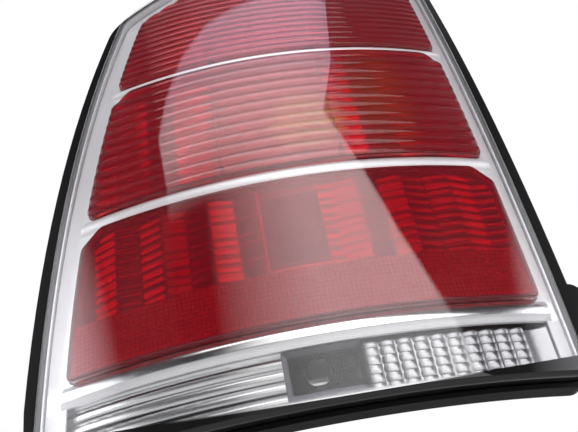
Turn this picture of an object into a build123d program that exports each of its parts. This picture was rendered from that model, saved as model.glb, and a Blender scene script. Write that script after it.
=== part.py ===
"""Tail light cluster for the left rear corner of a people carrier.

A clear outer lens wraps the corner of the car. Behind it a metallised bezel frames three red inner
lenses and a clear reversing tier, a stepped reflector carries the bulb chambers, and a black housing
closes the back. A clip-in carrier holds the bulbs and their contact tracks.

Lens frame: X to the right seen from behind the car, Y into the car, Z up, with Y = 0 on the plane
where the stud bosses meet the body panel. The parts are written with the main stud's root as origin.
"""

import math
import os

from build123d import *

# Lens face, a surface of revolution about an upright axis behind the lamp
LENS_DEPTH = 118.0
FACE_RADIUS_ACROSS = 360.0
FACE_RADIUS_UP = 1350.0

# Outline of the outer lens seen from the front
BELOW_AXIS = 116.0
RIGHT_EDGE = 138.0
LEFT_FOOT = 148.5
LEFT_SHOULDER = 90.0
LEFT_BULGE = 10.0
SHOULDER_DROP = 56.0
TOP_BULGE = 20.0
FOOT_CORNER = 9.0
SHOULDER_CORNER = 18.0
TOP_CORNER = 22.0

# Tiers and strips, heights from the bottom edge upwards
SILL_HEIGHT = 6.0
REVERSE_TIER = 27.0
LOWER_STRIP = 12.0
LOWER_TIER = 89.0
MIDDLE_STRIP = 10.0
MIDDLE_TIER = 97.0
UPPER_STRIP = 6.0
TOP_TIER = 107.0
TOP_MARGIN = 24.0
SIDE_MARGIN = 11.0
LEFT_MARGIN_EXTRA = 5.0
TIER_CHAMFER = 11.0
TIER_CHAMFER_ROUND = 5.0
TIER_FOOT_ROUND = 4.0

# Outer lens and the seam to the housing
LENS_WALL = 3.0
LENS_SKIRT = 16.0
SEAL_THICKNESS = 2.0
LIP_THICKNESS = 2.5
LIP_HEIGHT = 9.5
FLANGE_WIDTH = 8.5
EDGE_CLEARANCE = 0.5
SEAT_CLEARANCE = 0.3

# Housing
HOUSING_WALL = 2.5
HOUSING_SHOULDER = 5.5
BACK_STANDOFF = 5.0
BACK_CORNER = 12.0
FLOOR_STRAIGHT = 32.0
FLOOR_RISE = 24.5
SILL_SETBACK = 7.5
EAR_REACH = 10.0
EAR_HEIGHT = 44.0
EAR_LEVEL = 34.0
EAR_ROUND = 9.0
BACK_RIB_HEIGHT = 3.0
BACK_RIB_WIDTH = 2.5
BACK_RIB_PITCH = 46.0

# Bezel and red inner lenses, set back from the lens face
LENS_GAP = 1.4
RED_WALL = 2.6
RED_STEP = 4.6
RED_FLANGE = 2.0
RED_FLANGE_WIDTH = 1.8
FLUTE_RISE = 0.9
MIDDLE_FLUTE_PITCH = 7.8
TOP_FLUTE_PITCH = 6.2
BEZEL_WALL = 2.0
BEAD_RISE = 2.2
BEAD_OVERHANG = 3.0

# Reflex reflector behind the foot of the lower red lens
REFLEX_HEIGHT = 30.0
REFLEX_WALL = 2.4
REFLEX_PITCH = 3.0
REFLEX_RISE = 0.9

# Reflectors
REFLECTOR_WALL = 2.0
STEP_RISE = 1.6
STEP_PITCH = 13.0
CHAMBER_WIDTH = 81.0
CHAMBER_INSET = 3.0
CHAMBER_BACK = 34.0
CHAMBER_THROAT = 44.0
TOP_CHAMBER_HEIGHT = 78.0
REVERSE_CHAMBER_WIDTH = 40.0
REVERSE_CHAMBER_BACK = 24.0
REVERSE_CHAMBER_STRAIGHT = 25.0
BULB_HOLE_CLEARANCE = 1.2
PILLOW_COLUMNS = 10
PILLOW_ROWS = 6
PILLOW_WIDTH = 8.8
PILLOW_HEIGHT = 4.6
PILLOW_RISE = 1.3
BAR_PITCH = 6.2
BAR_RISE = 1.6
TOWER_RADIUS = 5.0

# Bulbs
BULB_X = 4.5
BULB_GLASS_RADIUS = 13.2
BULB_GLASS_LENGTH = 33.0
BULB_BASE_RADIUS = 7.5
BULB_BASE_LENGTH = 17.0
BULB_SHOULDER = 6.0
BULB_PIN_RADIUS = 1.0
BULB_PIN_REACH = 1.2
WEDGE_GLASS_RADIUS = 7.6
WEDGE_GLASS_LENGTH = 25.0
WEDGE_BASE_WIDTH = 13.0
WEDGE_BASE_THICKNESS = 5.0
WEDGE_BASE_LENGTH = 12.0
REVERSE_BULB_RISE = 30.5

# Bulb carrier and its contacts
CARRIER_WIDTH = 62.0
CARRIER_WALL = 2.5
CARRIER_MARGIN = 4.5
CARRIER_CORNER = 12.0
CARRIER_SEAL = 1.5
SOCKET_WALL = 2.2
SOCKET_LENGTH = 12.0
SOCKET_CLEARANCE = 0.25
LATCH_WIDTH = 10.0
LATCH_THICKNESS = 1.8
LATCH_HOOK = 1.5
LATCH_PITCH = 200.0
TRACK_WIDTH = 3.0
TRACK_THICKNESS = 0.8
TRACK_RUN = 16.0
BLADE_PITCH = 5.0
BLADE_LENGTH = 9.0
BLADE_LEVEL = 26.0
SHROUD_WALL = 1.6
SHROUD_WIDTH = 30.0
SHROUD_HEIGHT = 11.0
SHROUD_DEPTH = 16.0

# Fixings
STUD_RADIUS = 3.0
STUD_LENGTH = 26.0
STUD_SHANK_RADIUS = 4.0
STUD_HEAD_RADIUS = 7.0
STUD_HEAD_THICKNESS = 3.0
STUD_BOSS_RADIUS = 11.0
MAIN_STUD = (98.0, 30.0)
UPPER_STUD = (84.0, 186.0)
OUTER_STUD = (-98.0, -34.0)
SCREW_RADIUS = 1.5
SCREW_FIT = 0.1
SCREW_HEAD_RADIUS = 4.0
SCREW_HEAD_HEIGHT = 2.4
SCREW_BITE = 14.0
SCREW_BOSS_HEIGHT = 12.0
SCREW_POINTS = ((-78.0, 96.0), (88.0, 112.0), (-98.0, 4.0), (94.0, -18.0))
VENT_POINTS = ((-62.0, 150.0), (66.0, -58.0))
VENT_BORE = 2.5
VENT_WALL = 1.5
VENT_HEIGHT = 7.0
VENT_CAP_WALL = 1.6

# Gasket between housing and body panel
GASKET_WIDTH = 4.0
GASKET_PROUD = 2.5
GASKET_INSET = 1.0


# Levels up the lamp
Z_BOTTOM = -BELOW_AXIS
Z_SILL = Z_BOTTOM + SILL_HEIGHT
Z_REVERSE_TOP = Z_SILL + REVERSE_TIER
Z_LOWER_FOOT = Z_REVERSE_TOP + LOWER_STRIP
Z_LOWER_TOP = Z_LOWER_FOOT + LOWER_TIER
Z_MIDDLE_FOOT = Z_LOWER_TOP + MIDDLE_STRIP
Z_MIDDLE_TOP = Z_MIDDLE_FOOT + MIDDLE_TIER
Z_TOP_FOOT = Z_MIDDLE_TOP + UPPER_STRIP
Z_TOP_TOP = Z_TOP_FOOT + TOP_TIER
Z_CREST = Z_TOP_TOP + TOP_MARGIN
Z_REFLEX = Z_LOWER_FOOT + REFLEX_HEIGHT
Z_FLOOR = Z_BOTTOM + HOUSING_SHOULDER
Z_BACK_FOOT = Z_FLOOR + FLOOR_RISE

# Layers back from the lens face
D_RED = LENS_WALL + LENS_GAP
D_BEZEL = D_RED + RED_STEP
D_RED_FLANGE = D_BEZEL + BEZEL_WALL + SEAT_CLEARANCE
D_REFLECTOR = D_RED_FLANGE + RED_FLANGE + SEAT_CLEARANCE
D_SEAL = LENS_SKIRT + SEAT_CLEARANCE
D_LEDGE = D_SEAL + SEAL_THICKNESS + SEAT_CLEARANCE
D_LIP = D_LEDGE - LIP_HEIGHT

# Planes behind the chambers
Y_FACE = -LENS_DEPTH
Y_BACK = -BACK_STANDOFF
Y_BACK_INNER = Y_BACK - HOUSING_WALL
Y_CARRIER = Y_BACK + SEAT_CLEARANCE + CARRIER_SEAL + SEAT_CLEARANCE
Y_TRACK = Y_CARRIER + CARRIER_WALL + SEAT_CLEARANCE
Y_BULB_FOOT = Y_TRACK - SEAT_CLEARANCE
Y_TOWER = Y_BACK_INNER - SCREW_BOSS_HEIGHT
Y_FLOOR_BEND = Y_FACE + D_LEDGE + FLOOR_STRAIGHT

# Bulb stations up the carrier
Z_REVERSE_BULB = Z_SILL + REVERSE_TIER / 2 + REVERSE_BULB_RISE
Z_TAIL_BULB = (Z_REFLEX + Z_LOWER_TOP) / 2
Z_INDICATOR_BULB = (Z_MIDDLE_FOOT + Z_MIDDLE_TOP) / 2
Z_STOP_BULB = Z_TOP_FOOT + CHAMBER_INSET + TOP_CHAMBER_HEIGHT / 2
BAYONET_LEVELS = (Z_TAIL_BULB, Z_INDICATOR_BULB, Z_STOP_BULB)
SOCKET_BORE = BULB_BASE_RADIUS + SOCKET_CLEARANCE
WEDGE_SOCKET = WEDGE_BASE_WIDTH / 2 + SOCKET_CLEARANCE + SOCKET_WALL
Z_CARRIER_FOOT = Z_REVERSE_BULB - WEDGE_SOCKET - EDGE_CLEARANCE - CARRIER_MARGIN
Z_CARRIER_TOP = Z_STOP_BULB + BULB_GLASS_RADIUS + EDGE_CLEARANCE + CARRIER_MARGIN
Z_BLADES = Z_TAIL_BULB + BULB_BASE_RADIUS + BLADE_LEVEL


# Outlines, drawn with local x along X and local y along Z
FOOT_LEFT = Vector(-LEFT_FOOT, Z_BOTTOM)
SHOULDER = Vector(-LEFT_SHOULDER, Z_CREST - SHOULDER_DROP)
TOP_RIGHT = Vector(RIGHT_EDGE, Z_CREST)
SIDE_CURVE = ThreePointArc(SHOULDER, (SHOULDER + FOOT_LEFT) / 2 + Vector(-LEFT_BULGE, 0), FOOT_LEFT)
CROWN_CURVE = ThreePointArc(TOP_RIGHT, (TOP_RIGHT + SHOULDER) / 2 + Vector(0, TOP_BULGE), SHOULDER)


def disc(curve, inset):
    """Full disc inside an arc, made smaller by inset."""
    centre = curve.arc_center
    return Pos(centre.X, centre.Y) * Circle(curve.radius - inset)


def edge_in(inset):
    """Lens edge moved in by inset: bowed left side, upright right side, flat foot and crowned top."""
    width = LEFT_FOOT + RIGHT_EDGE + 2 * LEFT_BULGE
    height = Z_CREST + 2 * TOP_BULGE - Z_BOTTOM
    right, foot = RIGHT_EDGE - inset, Z_BOTTOM + inset
    sheet = Pos(right - width / 2, foot + height / 2) * Rectangle(width, height)
    sheet = sheet & disc(SIDE_CURVE, inset) & disc(CROWN_CURVE, inset)
    feet = sheet.vertices().sort_by(Axis.Y)[:2]
    sheet = fillet(feet, FOOT_CORNER - inset) if inset < FOOT_CORNER else sheet
    for corner, radius in ((SHOULDER, SHOULDER_CORNER - inset), (TOP_RIGHT, TOP_CORNER - inset)):
        if radius > 0:
            sheet = fillet(sheet.vertices().sort_by_distance(corner)[0], radius)
    return sheet


LENS_EDGE = edge_in(0.0)


def ring(outer_inset, inner_inset):
    """Band along the lens edge between two insets."""
    return edge_in(outer_inset) - edge_in(inner_inset)


def back_edge(inset):
    """Outline of the back wall moved in by inset: the lens edge above a raised foot."""
    sheet = edge_in(HOUSING_SHOULDER + inset) & band(Z_BACK_FOOT + inset, Z_CREST + 2 * TOP_BULGE)
    return fillet(sheet.vertices().group_by(Axis.Y)[0], BACK_CORNER - inset)


def band(low, high):
    """Wide strip between two levels."""
    middle = (RIGHT_EDGE - LEFT_FOOT) / 2
    width = 2 * (RIGHT_EDGE + LEFT_FOOT)
    return Pos(middle, (low + high) / 2) * Rectangle(width, high - low)


def block(x_middle, z_middle, width, height, corner=0.0):
    """Rectangle about a point, with rounded corners where corner is given."""
    shape = RectangleRounded(width, height, corner) if corner else Rectangle(width, height)
    return Pos(x_middle, z_middle) * shape


def panel(margin):
    """Field of the tiers: the lens edge less a margin that is wider on the left."""
    field = edge_in(margin)
    return field & Pos(LEFT_MARGIN_EXTRA, 0) * field


def red_tier(low, high):
    """Front outline of a red tier: cut-off upper corners and tight lower ones."""
    sheet = panel(SIDE_MARGIN) & band(low, high)
    feet = sheet.vertices().group_by(Axis.Y)[0]
    sheet = fillet(feet, TIER_FOOT_ROUND)
    sheet = chamfer(sheet.vertices().group_by(Axis.Y)[-1], TIER_CHAMFER)
    bevels = sheet.vertices().filter_by_position(Axis.Y, high - 1.5 * TIER_CHAMFER, high)
    return fillet(bevels, TIER_CHAMFER_ROUND)


def top_tier():
    """The top tier follows the crown of the lens, so only its foot is cut."""
    sheet = panel(SIDE_MARGIN) & band(Z_TOP_FOOT, Z_CREST + TOP_BULGE)
    return fillet(sheet.vertices().group_by(Axis.Y)[0], TIER_FOOT_ROUND)


def reverse_tier():
    """The clear tier runs between the side margins and down to the sill."""
    sheet = Pos(LEFT_MARGIN_EXTRA, 0) * disc(SIDE_CURVE, SIDE_MARGIN) & band(Z_SILL, Z_REVERSE_TOP)
    right = RIGHT_EDGE - SIDE_MARGIN
    return sheet & block(right - LEFT_FOOT, Z_SILL, 2 * LEFT_FOOT, 2 * BELOW_AXIS)


LOWER_OUTLINE = red_tier(Z_LOWER_FOOT, Z_LOWER_TOP)
MIDDLE_OUTLINE = red_tier(Z_MIDDLE_FOOT, Z_MIDDLE_TOP)
TOP_OUTLINE = top_tier()
REVERSE_OUTLINE = reverse_tier()
CARRIER_OUTLINE = block(
    BULB_X,
    (Z_CARRIER_FOOT + Z_CARRIER_TOP) / 2,
    CARRIER_WIDTH,
    Z_CARRIER_TOP - Z_CARRIER_FOOT,
    CARRIER_CORNER,
)
OPENING_OUTLINE = offset(CARRIER_OUTLINE, amount=-CARRIER_MARGIN)


# Solids shaped by the lens face
def face_point(inset, level):
    """Point of the upright section at a level, set back from the lens face by inset."""
    centre = Y_FACE + FACE_RADIUS_UP
    radius = FACE_RADIUS_UP - inset
    return (centre - math.sqrt(radius**2 - level**2), level)


def face_curve(inset, low, high):
    """Arc of the upright section between two levels."""
    middle = (low + high) / 2
    return ThreePointArc(face_point(inset, low), face_point(inset, middle), face_point(inset, high))


REACH_LOW = Z_BOTTOM - 40.0
REACH_HIGH = Z_CREST + TOP_BULGE + 40.0
FACE_AXIS = Axis((0, Y_FACE + FACE_RADIUS_ACROSS, 0), (0, 0, 1))
SWEEP = 150.0


def spin(section):
    """Turns a section of the upright plane about the lens axis, evenly to both sides."""
    start = Plane.YZ * section
    start = start.rotate(FACE_AXIS, -SWEEP / 2)
    return revolve(start, FACE_AXIS, SWEEP)


def section_between(front_curve, back_inset, low, high):
    """Section between a front curve, drawn upwards, and an arc behind it."""
    back = face_curve(back_inset, low, high)
    edge = front_curve + back + Line(front_curve @ 0, back @ 0) + Line(front_curve @ 1, back @ 1)
    return make_face(edge)


def layer(outline, front, back):
    """Sheet with the given outline between two depths behind the lens face."""
    section = section_between(face_curve(front, REACH_LOW, REACH_HIGH), back, REACH_LOW, REACH_HIGH)
    return spin(section) & prism(outline, Y_FACE - 1, 1.0)


def prism(outline, front, back):
    """Outline drawn out straight along Y from front to back."""
    return extrude(Plane.XZ.offset(-back) * outline, back - front)


def prism_behind(outline, inset, back):
    """Outline drawn out from a depth behind the lens face to a plane at the back."""
    deep = FACE_RADIUS_ACROSS / 2
    section = section_between(face_curve(inset, REACH_LOW, REACH_HIGH), deep, REACH_LOW, REACH_HIGH)
    return prism(outline, Y_FACE - 1, back) & spin(section)


def ripple(front, rise, pitch, low, high, sharp=False):
    """Front curve of even ridges between two levels: round flutes, or sharp steps."""
    count = max(2, round((high - low) / pitch))
    step = (high - low) / count
    curve = Curve()
    for index in range(count):
        foot = low + index * step
        head = foot + step
        start, end = face_point(front + rise, foot), face_point(front + rise, head)
        crest = face_point(front, foot + step / 2)
        if sharp:
            curve += Line(start, face_point(front, head)) + Line(face_point(front, head), end)
        else:
            curve += ThreePointArc(start, crest, end)
    return curve


def station(x, z, y=0.0):
    """Place on the back of the lamp with local z pointing into the car."""
    return Pos(x, y, z) * Rot(-90, 0, 0)


def rod(x, z, radius, front, back):
    """Round bar along Y between two planes."""
    along = (Align.CENTER, Align.CENTER, Align.MIN)
    return station(x, z, front) * Cylinder(radius, back - front, align=along)


# Pieces
def make_outer_lens():
    """Clear cover: a dished face with a skirt all round."""
    shell = layer(LENS_EDGE, 0, LENS_SKIRT)
    return shell - layer(edge_in(LENS_WALL), LENS_WALL, LENS_SKIRT + 1)


def make_lens_seal():
    """Black sealing bead under the foot of the lens skirt."""
    spread = EDGE_CLEARANCE - SEAT_CLEARANCE
    return layer(ring(-spread, LENS_WALL + spread), D_SEAL, D_SEAL + SEAL_THICKNESS)


def red_lens(outline, front_section):
    """Red inner lens: a tray with a front, a wall all round and a flange held behind the bezel."""
    front = spin(front_section) & prism(outline, Y_FACE - 1, 1.0)
    inner = offset(outline, amount=-RED_WALL)
    wall = layer(outline - inner, D_RED + RED_WALL / 2, D_RED_FLANGE + RED_FLANGE)
    foot = offset(outline, amount=RED_FLANGE_WIDTH) - inner
    return front + wall + layer(foot, D_RED_FLANGE, D_RED_FLANGE + RED_FLANGE)


def make_top_red_lens():
    """Stop and tail tier, with close horizontal flutes."""
    front = ripple(D_RED, FLUTE_RISE, TOP_FLUTE_PITCH, Z_TOP_FOOT, REACH_HIGH)
    return red_lens(TOP_OUTLINE, section_between(front, D_RED + RED_WALL, Z_TOP_FOOT, REACH_HIGH))


def make_middle_red_lens():
    """Indicator tier, with broad horizontal flutes."""
    front = ripple(D_RED, FLUTE_RISE, MIDDLE_FLUTE_PITCH, Z_MIDDLE_FOOT, Z_MIDDLE_TOP)
    section = section_between(front, D_RED + RED_WALL, Z_MIDDLE_FOOT, Z_MIDDLE_TOP)
    return red_lens(MIDDLE_OUTLINE, section)


def make_lower_red_lens():
    """Tail and fog tier, smooth in front."""
    front = face_curve(D_RED, REACH_LOW, REACH_HIGH)
    return red_lens(LOWER_OUTLINE, section_between(front, D_RED + RED_WALL, REACH_LOW, REACH_HIGH))


def make_reflex_reflector():
    """Red reflex plate with rows of prisms, inside the foot of the lower red lens."""
    inside = offset(LOWER_OUTLINE, amount=-RED_WALL - SEAT_CLEARANCE)
    low = Z_LOWER_FOOT + RED_WALL + SEAT_CLEARANCE
    front = D_RED + RED_WALL + SEAT_CLEARANCE
    ridges = ripple(front, REFLEX_RISE, REFLEX_PITCH, low - 1, Z_REFLEX, sharp=True)
    plate = spin(section_between(ridges, front + REFLEX_WALL, low - 1, Z_REFLEX))
    return plate & prism(inside, Y_FACE - 1, 1.0)


def bezel_bead(low, high):
    """Rounded strip between two tiers, a little wider than they are."""
    middle = (low + high) / 2
    crest = face_point(D_BEZEL - BEAD_RISE, middle)
    front = ThreePointArc(face_point(D_BEZEL, low), crest, face_point(D_BEZEL, high))
    section = section_between(front, D_BEZEL + BEZEL_WALL, low, high)
    return spin(section) & prism(panel(SIDE_MARGIN - BEAD_OVERHANG), Y_FACE - 1, 1.0)


def make_bezel():
    """Metallised frame with a window for each tier, a bead between tiers and a skirt on the ledge."""
    outer_inset = LENS_WALL + EDGE_CLEARANCE
    above_sill = band(Z_SILL, REACH_HIGH)
    plate = layer(edge_in(outer_inset) & above_sill, D_BEZEL, D_BEZEL + BEZEL_WALL)
    skirt = ring(outer_inset, outer_inset + BEZEL_WALL) & above_sill
    plate += layer(skirt, D_BEZEL, D_LEDGE - SEAT_CLEARANCE)
    tiers = (LOWER_OUTLINE, MIDDLE_OUTLINE, TOP_OUTLINE)
    windows = [offset(outline, amount=SEAT_CLEARANCE) for outline in tiers]
    windows.append(REVERSE_OUTLINE)
    for window in windows:
        plate -= layer(window, D_BEZEL - 1, D_BEZEL + BEZEL_WALL + 1)
    for low, high in (
        (Z_REVERSE_TOP, Z_LOWER_FOOT - SEAT_CLEARANCE),
        (Z_LOWER_TOP + SEAT_CLEARANCE, Z_MIDDLE_FOOT - SEAT_CLEARANCE),
        (Z_MIDDLE_TOP + SEAT_CLEARANCE, Z_TOP_FOOT - SEAT_CLEARANCE),
    ):
        plate += bezel_bead(low, high)
    return plate


def chamber(mouth_level, throat_level, width, height, straight, back):
    """Outside and inside of a bulb chamber: a straight mouth, then a taper to a throat at its own level."""
    throat_width = min(CHAMBER_THROAT, width - 4 * REFLECTOR_WALL)
    throat_height = min(CHAMBER_THROAT, height - 2 * REFLECTOR_WALL)
    lofts = []
    for grow, rear in ((REFLECTOR_WALL, back), (0.0, back + REFLECTOR_WALL)):
        spare = 2 * (REFLECTOR_WALL - grow)
        mouth = block(BULB_X, mouth_level, width - spare, height - spare)
        throat = block(BULB_X, throat_level, throat_width + 2 * grow, throat_height + 2 * grow)
        neck = Plane.XZ.offset(LENS_DEPTH - straight)
        taper = loft([(neck * mouth).face(), (Plane.XZ.offset(rear) * throat).face()])
        lofts.append(taper + prism(mouth, Y_FACE, Y_FACE + straight))
    outside, inside = lofts
    field = block(BULB_X, (mouth_level + throat_level) / 2, 2 * width, 3 * height)
    return outside & prism_behind(field, D_REFLECTOR, 0.0), inside


def red_chambers():
    """Level and height of each chamber behind the red tiers."""
    return (
        (Z_TAIL_BULB, Z_LOWER_TOP - Z_REFLEX - 2 * CHAMBER_INSET),
        (Z_INDICATOR_BULB, MIDDLE_TIER - 2 * CHAMBER_INSET),
        (Z_STOP_BULB, TOP_CHAMBER_HEIGHT),
    )


def bulb_hole(level, glass_radius, back):
    """Round hole for a bulb through the back of its chamber."""
    depth = 2 * REFLECTOR_WALL
    return rod(BULB_X, level, glass_radius + BULB_HOLE_CLEARANCE, -back - depth, -back + depth)


def reflector_edge():
    """Outer edge of both reflectors, inside the skirt of the bezel."""
    return edge_in(LENS_WALL + EDGE_CLEARANCE + BEZEL_WALL + EDGE_CLEARANCE)


def make_reflector():
    """Metallised moulding behind the red tiers: stepped plate, bulb chambers and screw towers."""
    low = Z_LOWER_FOOT - LOWER_STRIP / 2
    steps = ripple(D_REFLECTOR, STEP_RISE, STEP_PITCH, low, REACH_HIGH, sharp=True)
    back = D_REFLECTOR + STEP_RISE + REFLECTOR_WALL
    moulding = spin(section_between(steps, back, low, REACH_HIGH))
    moulding = moulding & prism(reflector_edge(), Y_FACE - 1, 1.0)
    for x, z in SCREW_POINTS:
        tower = Pos(x, z) * Circle(TOWER_RADIUS)
        moulding += prism_behind(tower, D_REFLECTOR + STEP_RISE, Y_TOWER - SEAT_CLEARANCE)
        moulding -= rod(x, z, SCREW_RADIUS + SCREW_FIT, Y_TOWER - SCREW_BITE - 1, 0)
    for level, height in red_chambers():
        outside, inside = chamber(level, level, CHAMBER_WIDTH, height, D_REFLECTOR, CHAMBER_BACK)
        moulding = moulding + outside - inside - bulb_hole(level, BULB_GLASS_RADIUS, CHAMBER_BACK)
    return moulding


def surface_depth(inset, x, z):
    """Y of the surface set back from the lens face by inset, at a place across and up."""
    axis_y = Y_FACE + FACE_RADIUS_ACROSS
    reach = axis_y - face_point(inset, z)[0]
    return axis_y - math.sqrt(reach**2 - x**2)


def pillows(front, low):
    """Grid of domed facets that stand out from the surface at the given depth."""
    half_width, half_height = PILLOW_WIDTH / 2, PILLOW_HEIGHT / 2
    radius = (half_width**2 + half_height**2 + PILLOW_RISE**2) / (2 * PILLOW_RISE)
    start = BULB_X + REVERSE_CHAMBER_WIDTH / 2 + half_width
    facets = []
    for column in range(PILLOW_COLUMNS):
        for row in range(PILLOW_ROWS):
            x, z = start + column * PILLOW_WIDTH, low + half_height + row * PILLOW_HEIGHT
            depth = surface_depth(front, x, z)
            crest = depth - PILLOW_RISE
            cell = prism(block(x, z, PILLOW_WIDTH, PILLOW_HEIGHT), crest, depth + REFLECTOR_WALL)
            facets.append(cell & Pos(x, crest + radius, z) * Sphere(radius))
    return facets


def make_reverse_reflector():
    """Metallised strip behind the clear tier: bars on the left, a bulb chamber, pillows on the right."""
    low = Z_SILL + SEAT_CLEARANCE
    high = Z_LOWER_FOOT - LOWER_STRIP / 2 - SEAT_CLEARANCE
    outline = reflector_edge() & band(low, high)
    base = D_REFLECTOR + BAR_RISE
    strip = layer(outline, base, base + REFLECTOR_WALL)
    bars = ripple(D_REFLECTOR, BAR_RISE, BAR_PITCH, low, high)
    chamber_edge = BULB_X - REVERSE_CHAMBER_WIDTH / 2
    left = block(chamber_edge - LEFT_FOOT, (low + high) / 2, 2 * LEFT_FOOT, high - low)
    ridges = spin(section_between(bars, base + REFLECTOR_WALL / 2, low, high))
    strip += ridges & prism(outline & left, Y_FACE - 1, 1.0)
    strip += pillows(base, low)
    mouth_low = Z_FLOOR + HOUSING_WALL + EDGE_CLEARANCE
    mouth_high = Z_REVERSE_TOP - SEAT_CLEARANCE
    outside, inside = chamber(
        (mouth_low + mouth_high) / 2,
        Z_REVERSE_BULB,
        REVERSE_CHAMBER_WIDTH,
        mouth_high - mouth_low,
        REVERSE_CHAMBER_STRAIGHT,
        REVERSE_CHAMBER_BACK,
    )
    strip = strip + outside - inside
    return strip - bulb_hole(Z_REVERSE_BULB, WEDGE_GLASS_RADIUS, REVERSE_CHAMBER_BACK)


def bayonet_bulb(level):
    """Bayonet bulb as one sealed solid: round glass on a pinned metal base."""
    glass_foot = Y_BULB_FOOT - BULB_BASE_LENGTH
    tip = glass_foot - BULB_GLASS_LENGTH
    ball = tip + BULB_GLASS_RADIUS
    profile = Polyline(
        (0, Y_BULB_FOOT),
        (BULB_BASE_RADIUS, Y_BULB_FOOT),
        (BULB_BASE_RADIUS, glass_foot),
        (BULB_GLASS_RADIUS, glass_foot - BULB_SHOULDER),
        (BULB_GLASS_RADIUS, ball),
    )
    profile += RadiusArc((BULB_GLASS_RADIUS, ball), (0, tip), BULB_GLASS_RADIUS)
    profile += Line((0, tip), (0, Y_BULB_FOOT))
    bulb = revolve(make_face(profile), Axis.Y)
    pin_y = Y_BULB_FOOT - BULB_BASE_LENGTH / 2
    reach = 2 * (BULB_BASE_RADIUS + BULB_PIN_REACH)
    pins = Pos(0, pin_y, 0) * Rot(0, 90, 0) * Cylinder(BULB_PIN_RADIUS, reach)
    return Pos(BULB_X, 0, level) * (bulb + pins)


def wedge_bulb():
    """Capless reversing bulb as one sealed solid: glass tube on a flat wedge base."""
    glass_foot = Y_BULB_FOOT - WEDGE_BASE_LENGTH
    tip = glass_foot - WEDGE_GLASS_LENGTH
    ball = tip + WEDGE_GLASS_RADIUS
    profile = Polyline((0, glass_foot), (WEDGE_GLASS_RADIUS, glass_foot), (WEDGE_GLASS_RADIUS, ball))
    profile += RadiusArc((WEDGE_GLASS_RADIUS, ball), (0, tip), WEDGE_GLASS_RADIUS)
    profile += Line((0, tip), (0, glass_foot))
    glass = revolve(make_face(profile), Axis.Y)
    base = Pos(0, Y_BULB_FOOT - WEDGE_BASE_LENGTH / 2, 0) * Box(
        WEDGE_BASE_WIDTH, WEDGE_BASE_LENGTH, WEDGE_BASE_THICKNESS
    )
    return Pos(BULB_X, 0, Z_REVERSE_BULB) * (glass + base)


def latch_points():
    """Level and side of each latch of the carrier."""
    middle = (Z_CARRIER_FOOT + Z_CARRIER_TOP) / 2
    return [(middle + end * LATCH_PITCH / 2, side) for end in (-1, 1) for side in (-1, 1)]


def make_bulb_carrier():
    """Clip-in plate with bulb sockets in front and the plug shroud behind."""
    plate = prism(CARRIER_OUTLINE, Y_CARRIER, Y_CARRIER + CARRIER_WALL)
    for level in BAYONET_LEVELS:
        plate += rod(BULB_X, level, SOCKET_BORE + SOCKET_WALL, Y_CARRIER - SOCKET_LENGTH, Y_CARRIER + 1)
    plate += rod(BULB_X, Z_REVERSE_BULB, WEDGE_SOCKET, Y_CARRIER - SOCKET_LENGTH / 2, Y_CARRIER + 1)
    half_opening = CARRIER_WIDTH / 2 - CARRIER_MARGIN
    for level, side in latch_points():
        arm_x = BULB_X + side * (half_opening - EDGE_CLEARANCE - LATCH_THICKNESS / 2)
        hook_y = Y_BACK_INNER - SEAT_CLEARANCE
        arm = block(arm_x, level, LATCH_THICKNESS, LATCH_WIDTH)
        plate += prism(arm, hook_y - LATCH_THICKNESS, Y_CARRIER + 1)
        hook = block(arm_x + side * LATCH_HOOK, level, LATCH_THICKNESS + LATCH_HOOK, LATCH_WIDTH)
        plate += prism(hook, hook_y - LATCH_THICKNESS, hook_y)
    shroud_outline = block(BULB_X, Z_BLADES, SHROUD_WIDTH, SHROUD_HEIGHT)
    shroud_outline -= offset(shroud_outline, amount=-SHROUD_WALL)
    shroud = prism(shroud_outline, Y_CARRIER, Y_TRACK + SHROUD_DEPTH)
    for outline in track_outlines().values():
        notch = offset(outline, amount=SEAT_CLEARANCE)
        shroud -= prism(notch, Y_CARRIER + CARRIER_WALL, Y_TRACK + TRACK_THICKNESS + SEAT_CLEARANCE)
    plate += shroud
    for level in BAYONET_LEVELS:
        plate -= rod(BULB_X, level, SOCKET_BORE, Y_CARRIER - SOCKET_LENGTH - 1, Y_TRACK)
        slot_width = 2 * (BULB_PIN_RADIUS + SOCKET_CLEARANCE)
        slot_reach = 2 * (BULB_BASE_RADIUS + BULB_PIN_REACH + SOCKET_CLEARANCE)
        slot = block(BULB_X, level, slot_reach, slot_width)
        plate -= prism(slot, Y_CARRIER - SOCKET_LENGTH - 1, Y_BULB_FOOT - BULB_BASE_LENGTH / 2 + slot_width)
    wedge_slot = block(
        BULB_X,
        Z_REVERSE_BULB,
        WEDGE_BASE_WIDTH + 2 * SOCKET_CLEARANCE,
        WEDGE_BASE_THICKNESS + 2 * SOCKET_CLEARANCE,
    )
    return plate - prism(wedge_slot, Y_CARRIER - SOCKET_LENGTH, Y_TRACK)


def strip_path(*points):
    """Flat track outline along square-cornered runs from point to point about the bulb line."""
    outline = None
    for (x0, z0), (x1, z1) in zip(points, points[1:]):
        run = block(
            BULB_X + (x0 + x1) / 2,
            (z0 + z1) / 2,
            abs(x1 - x0) + TRACK_WIDTH,
            abs(z1 - z0) + TRACK_WIDTH,
        )
        outline = run if outline is None else outline + run
    return outline


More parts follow.
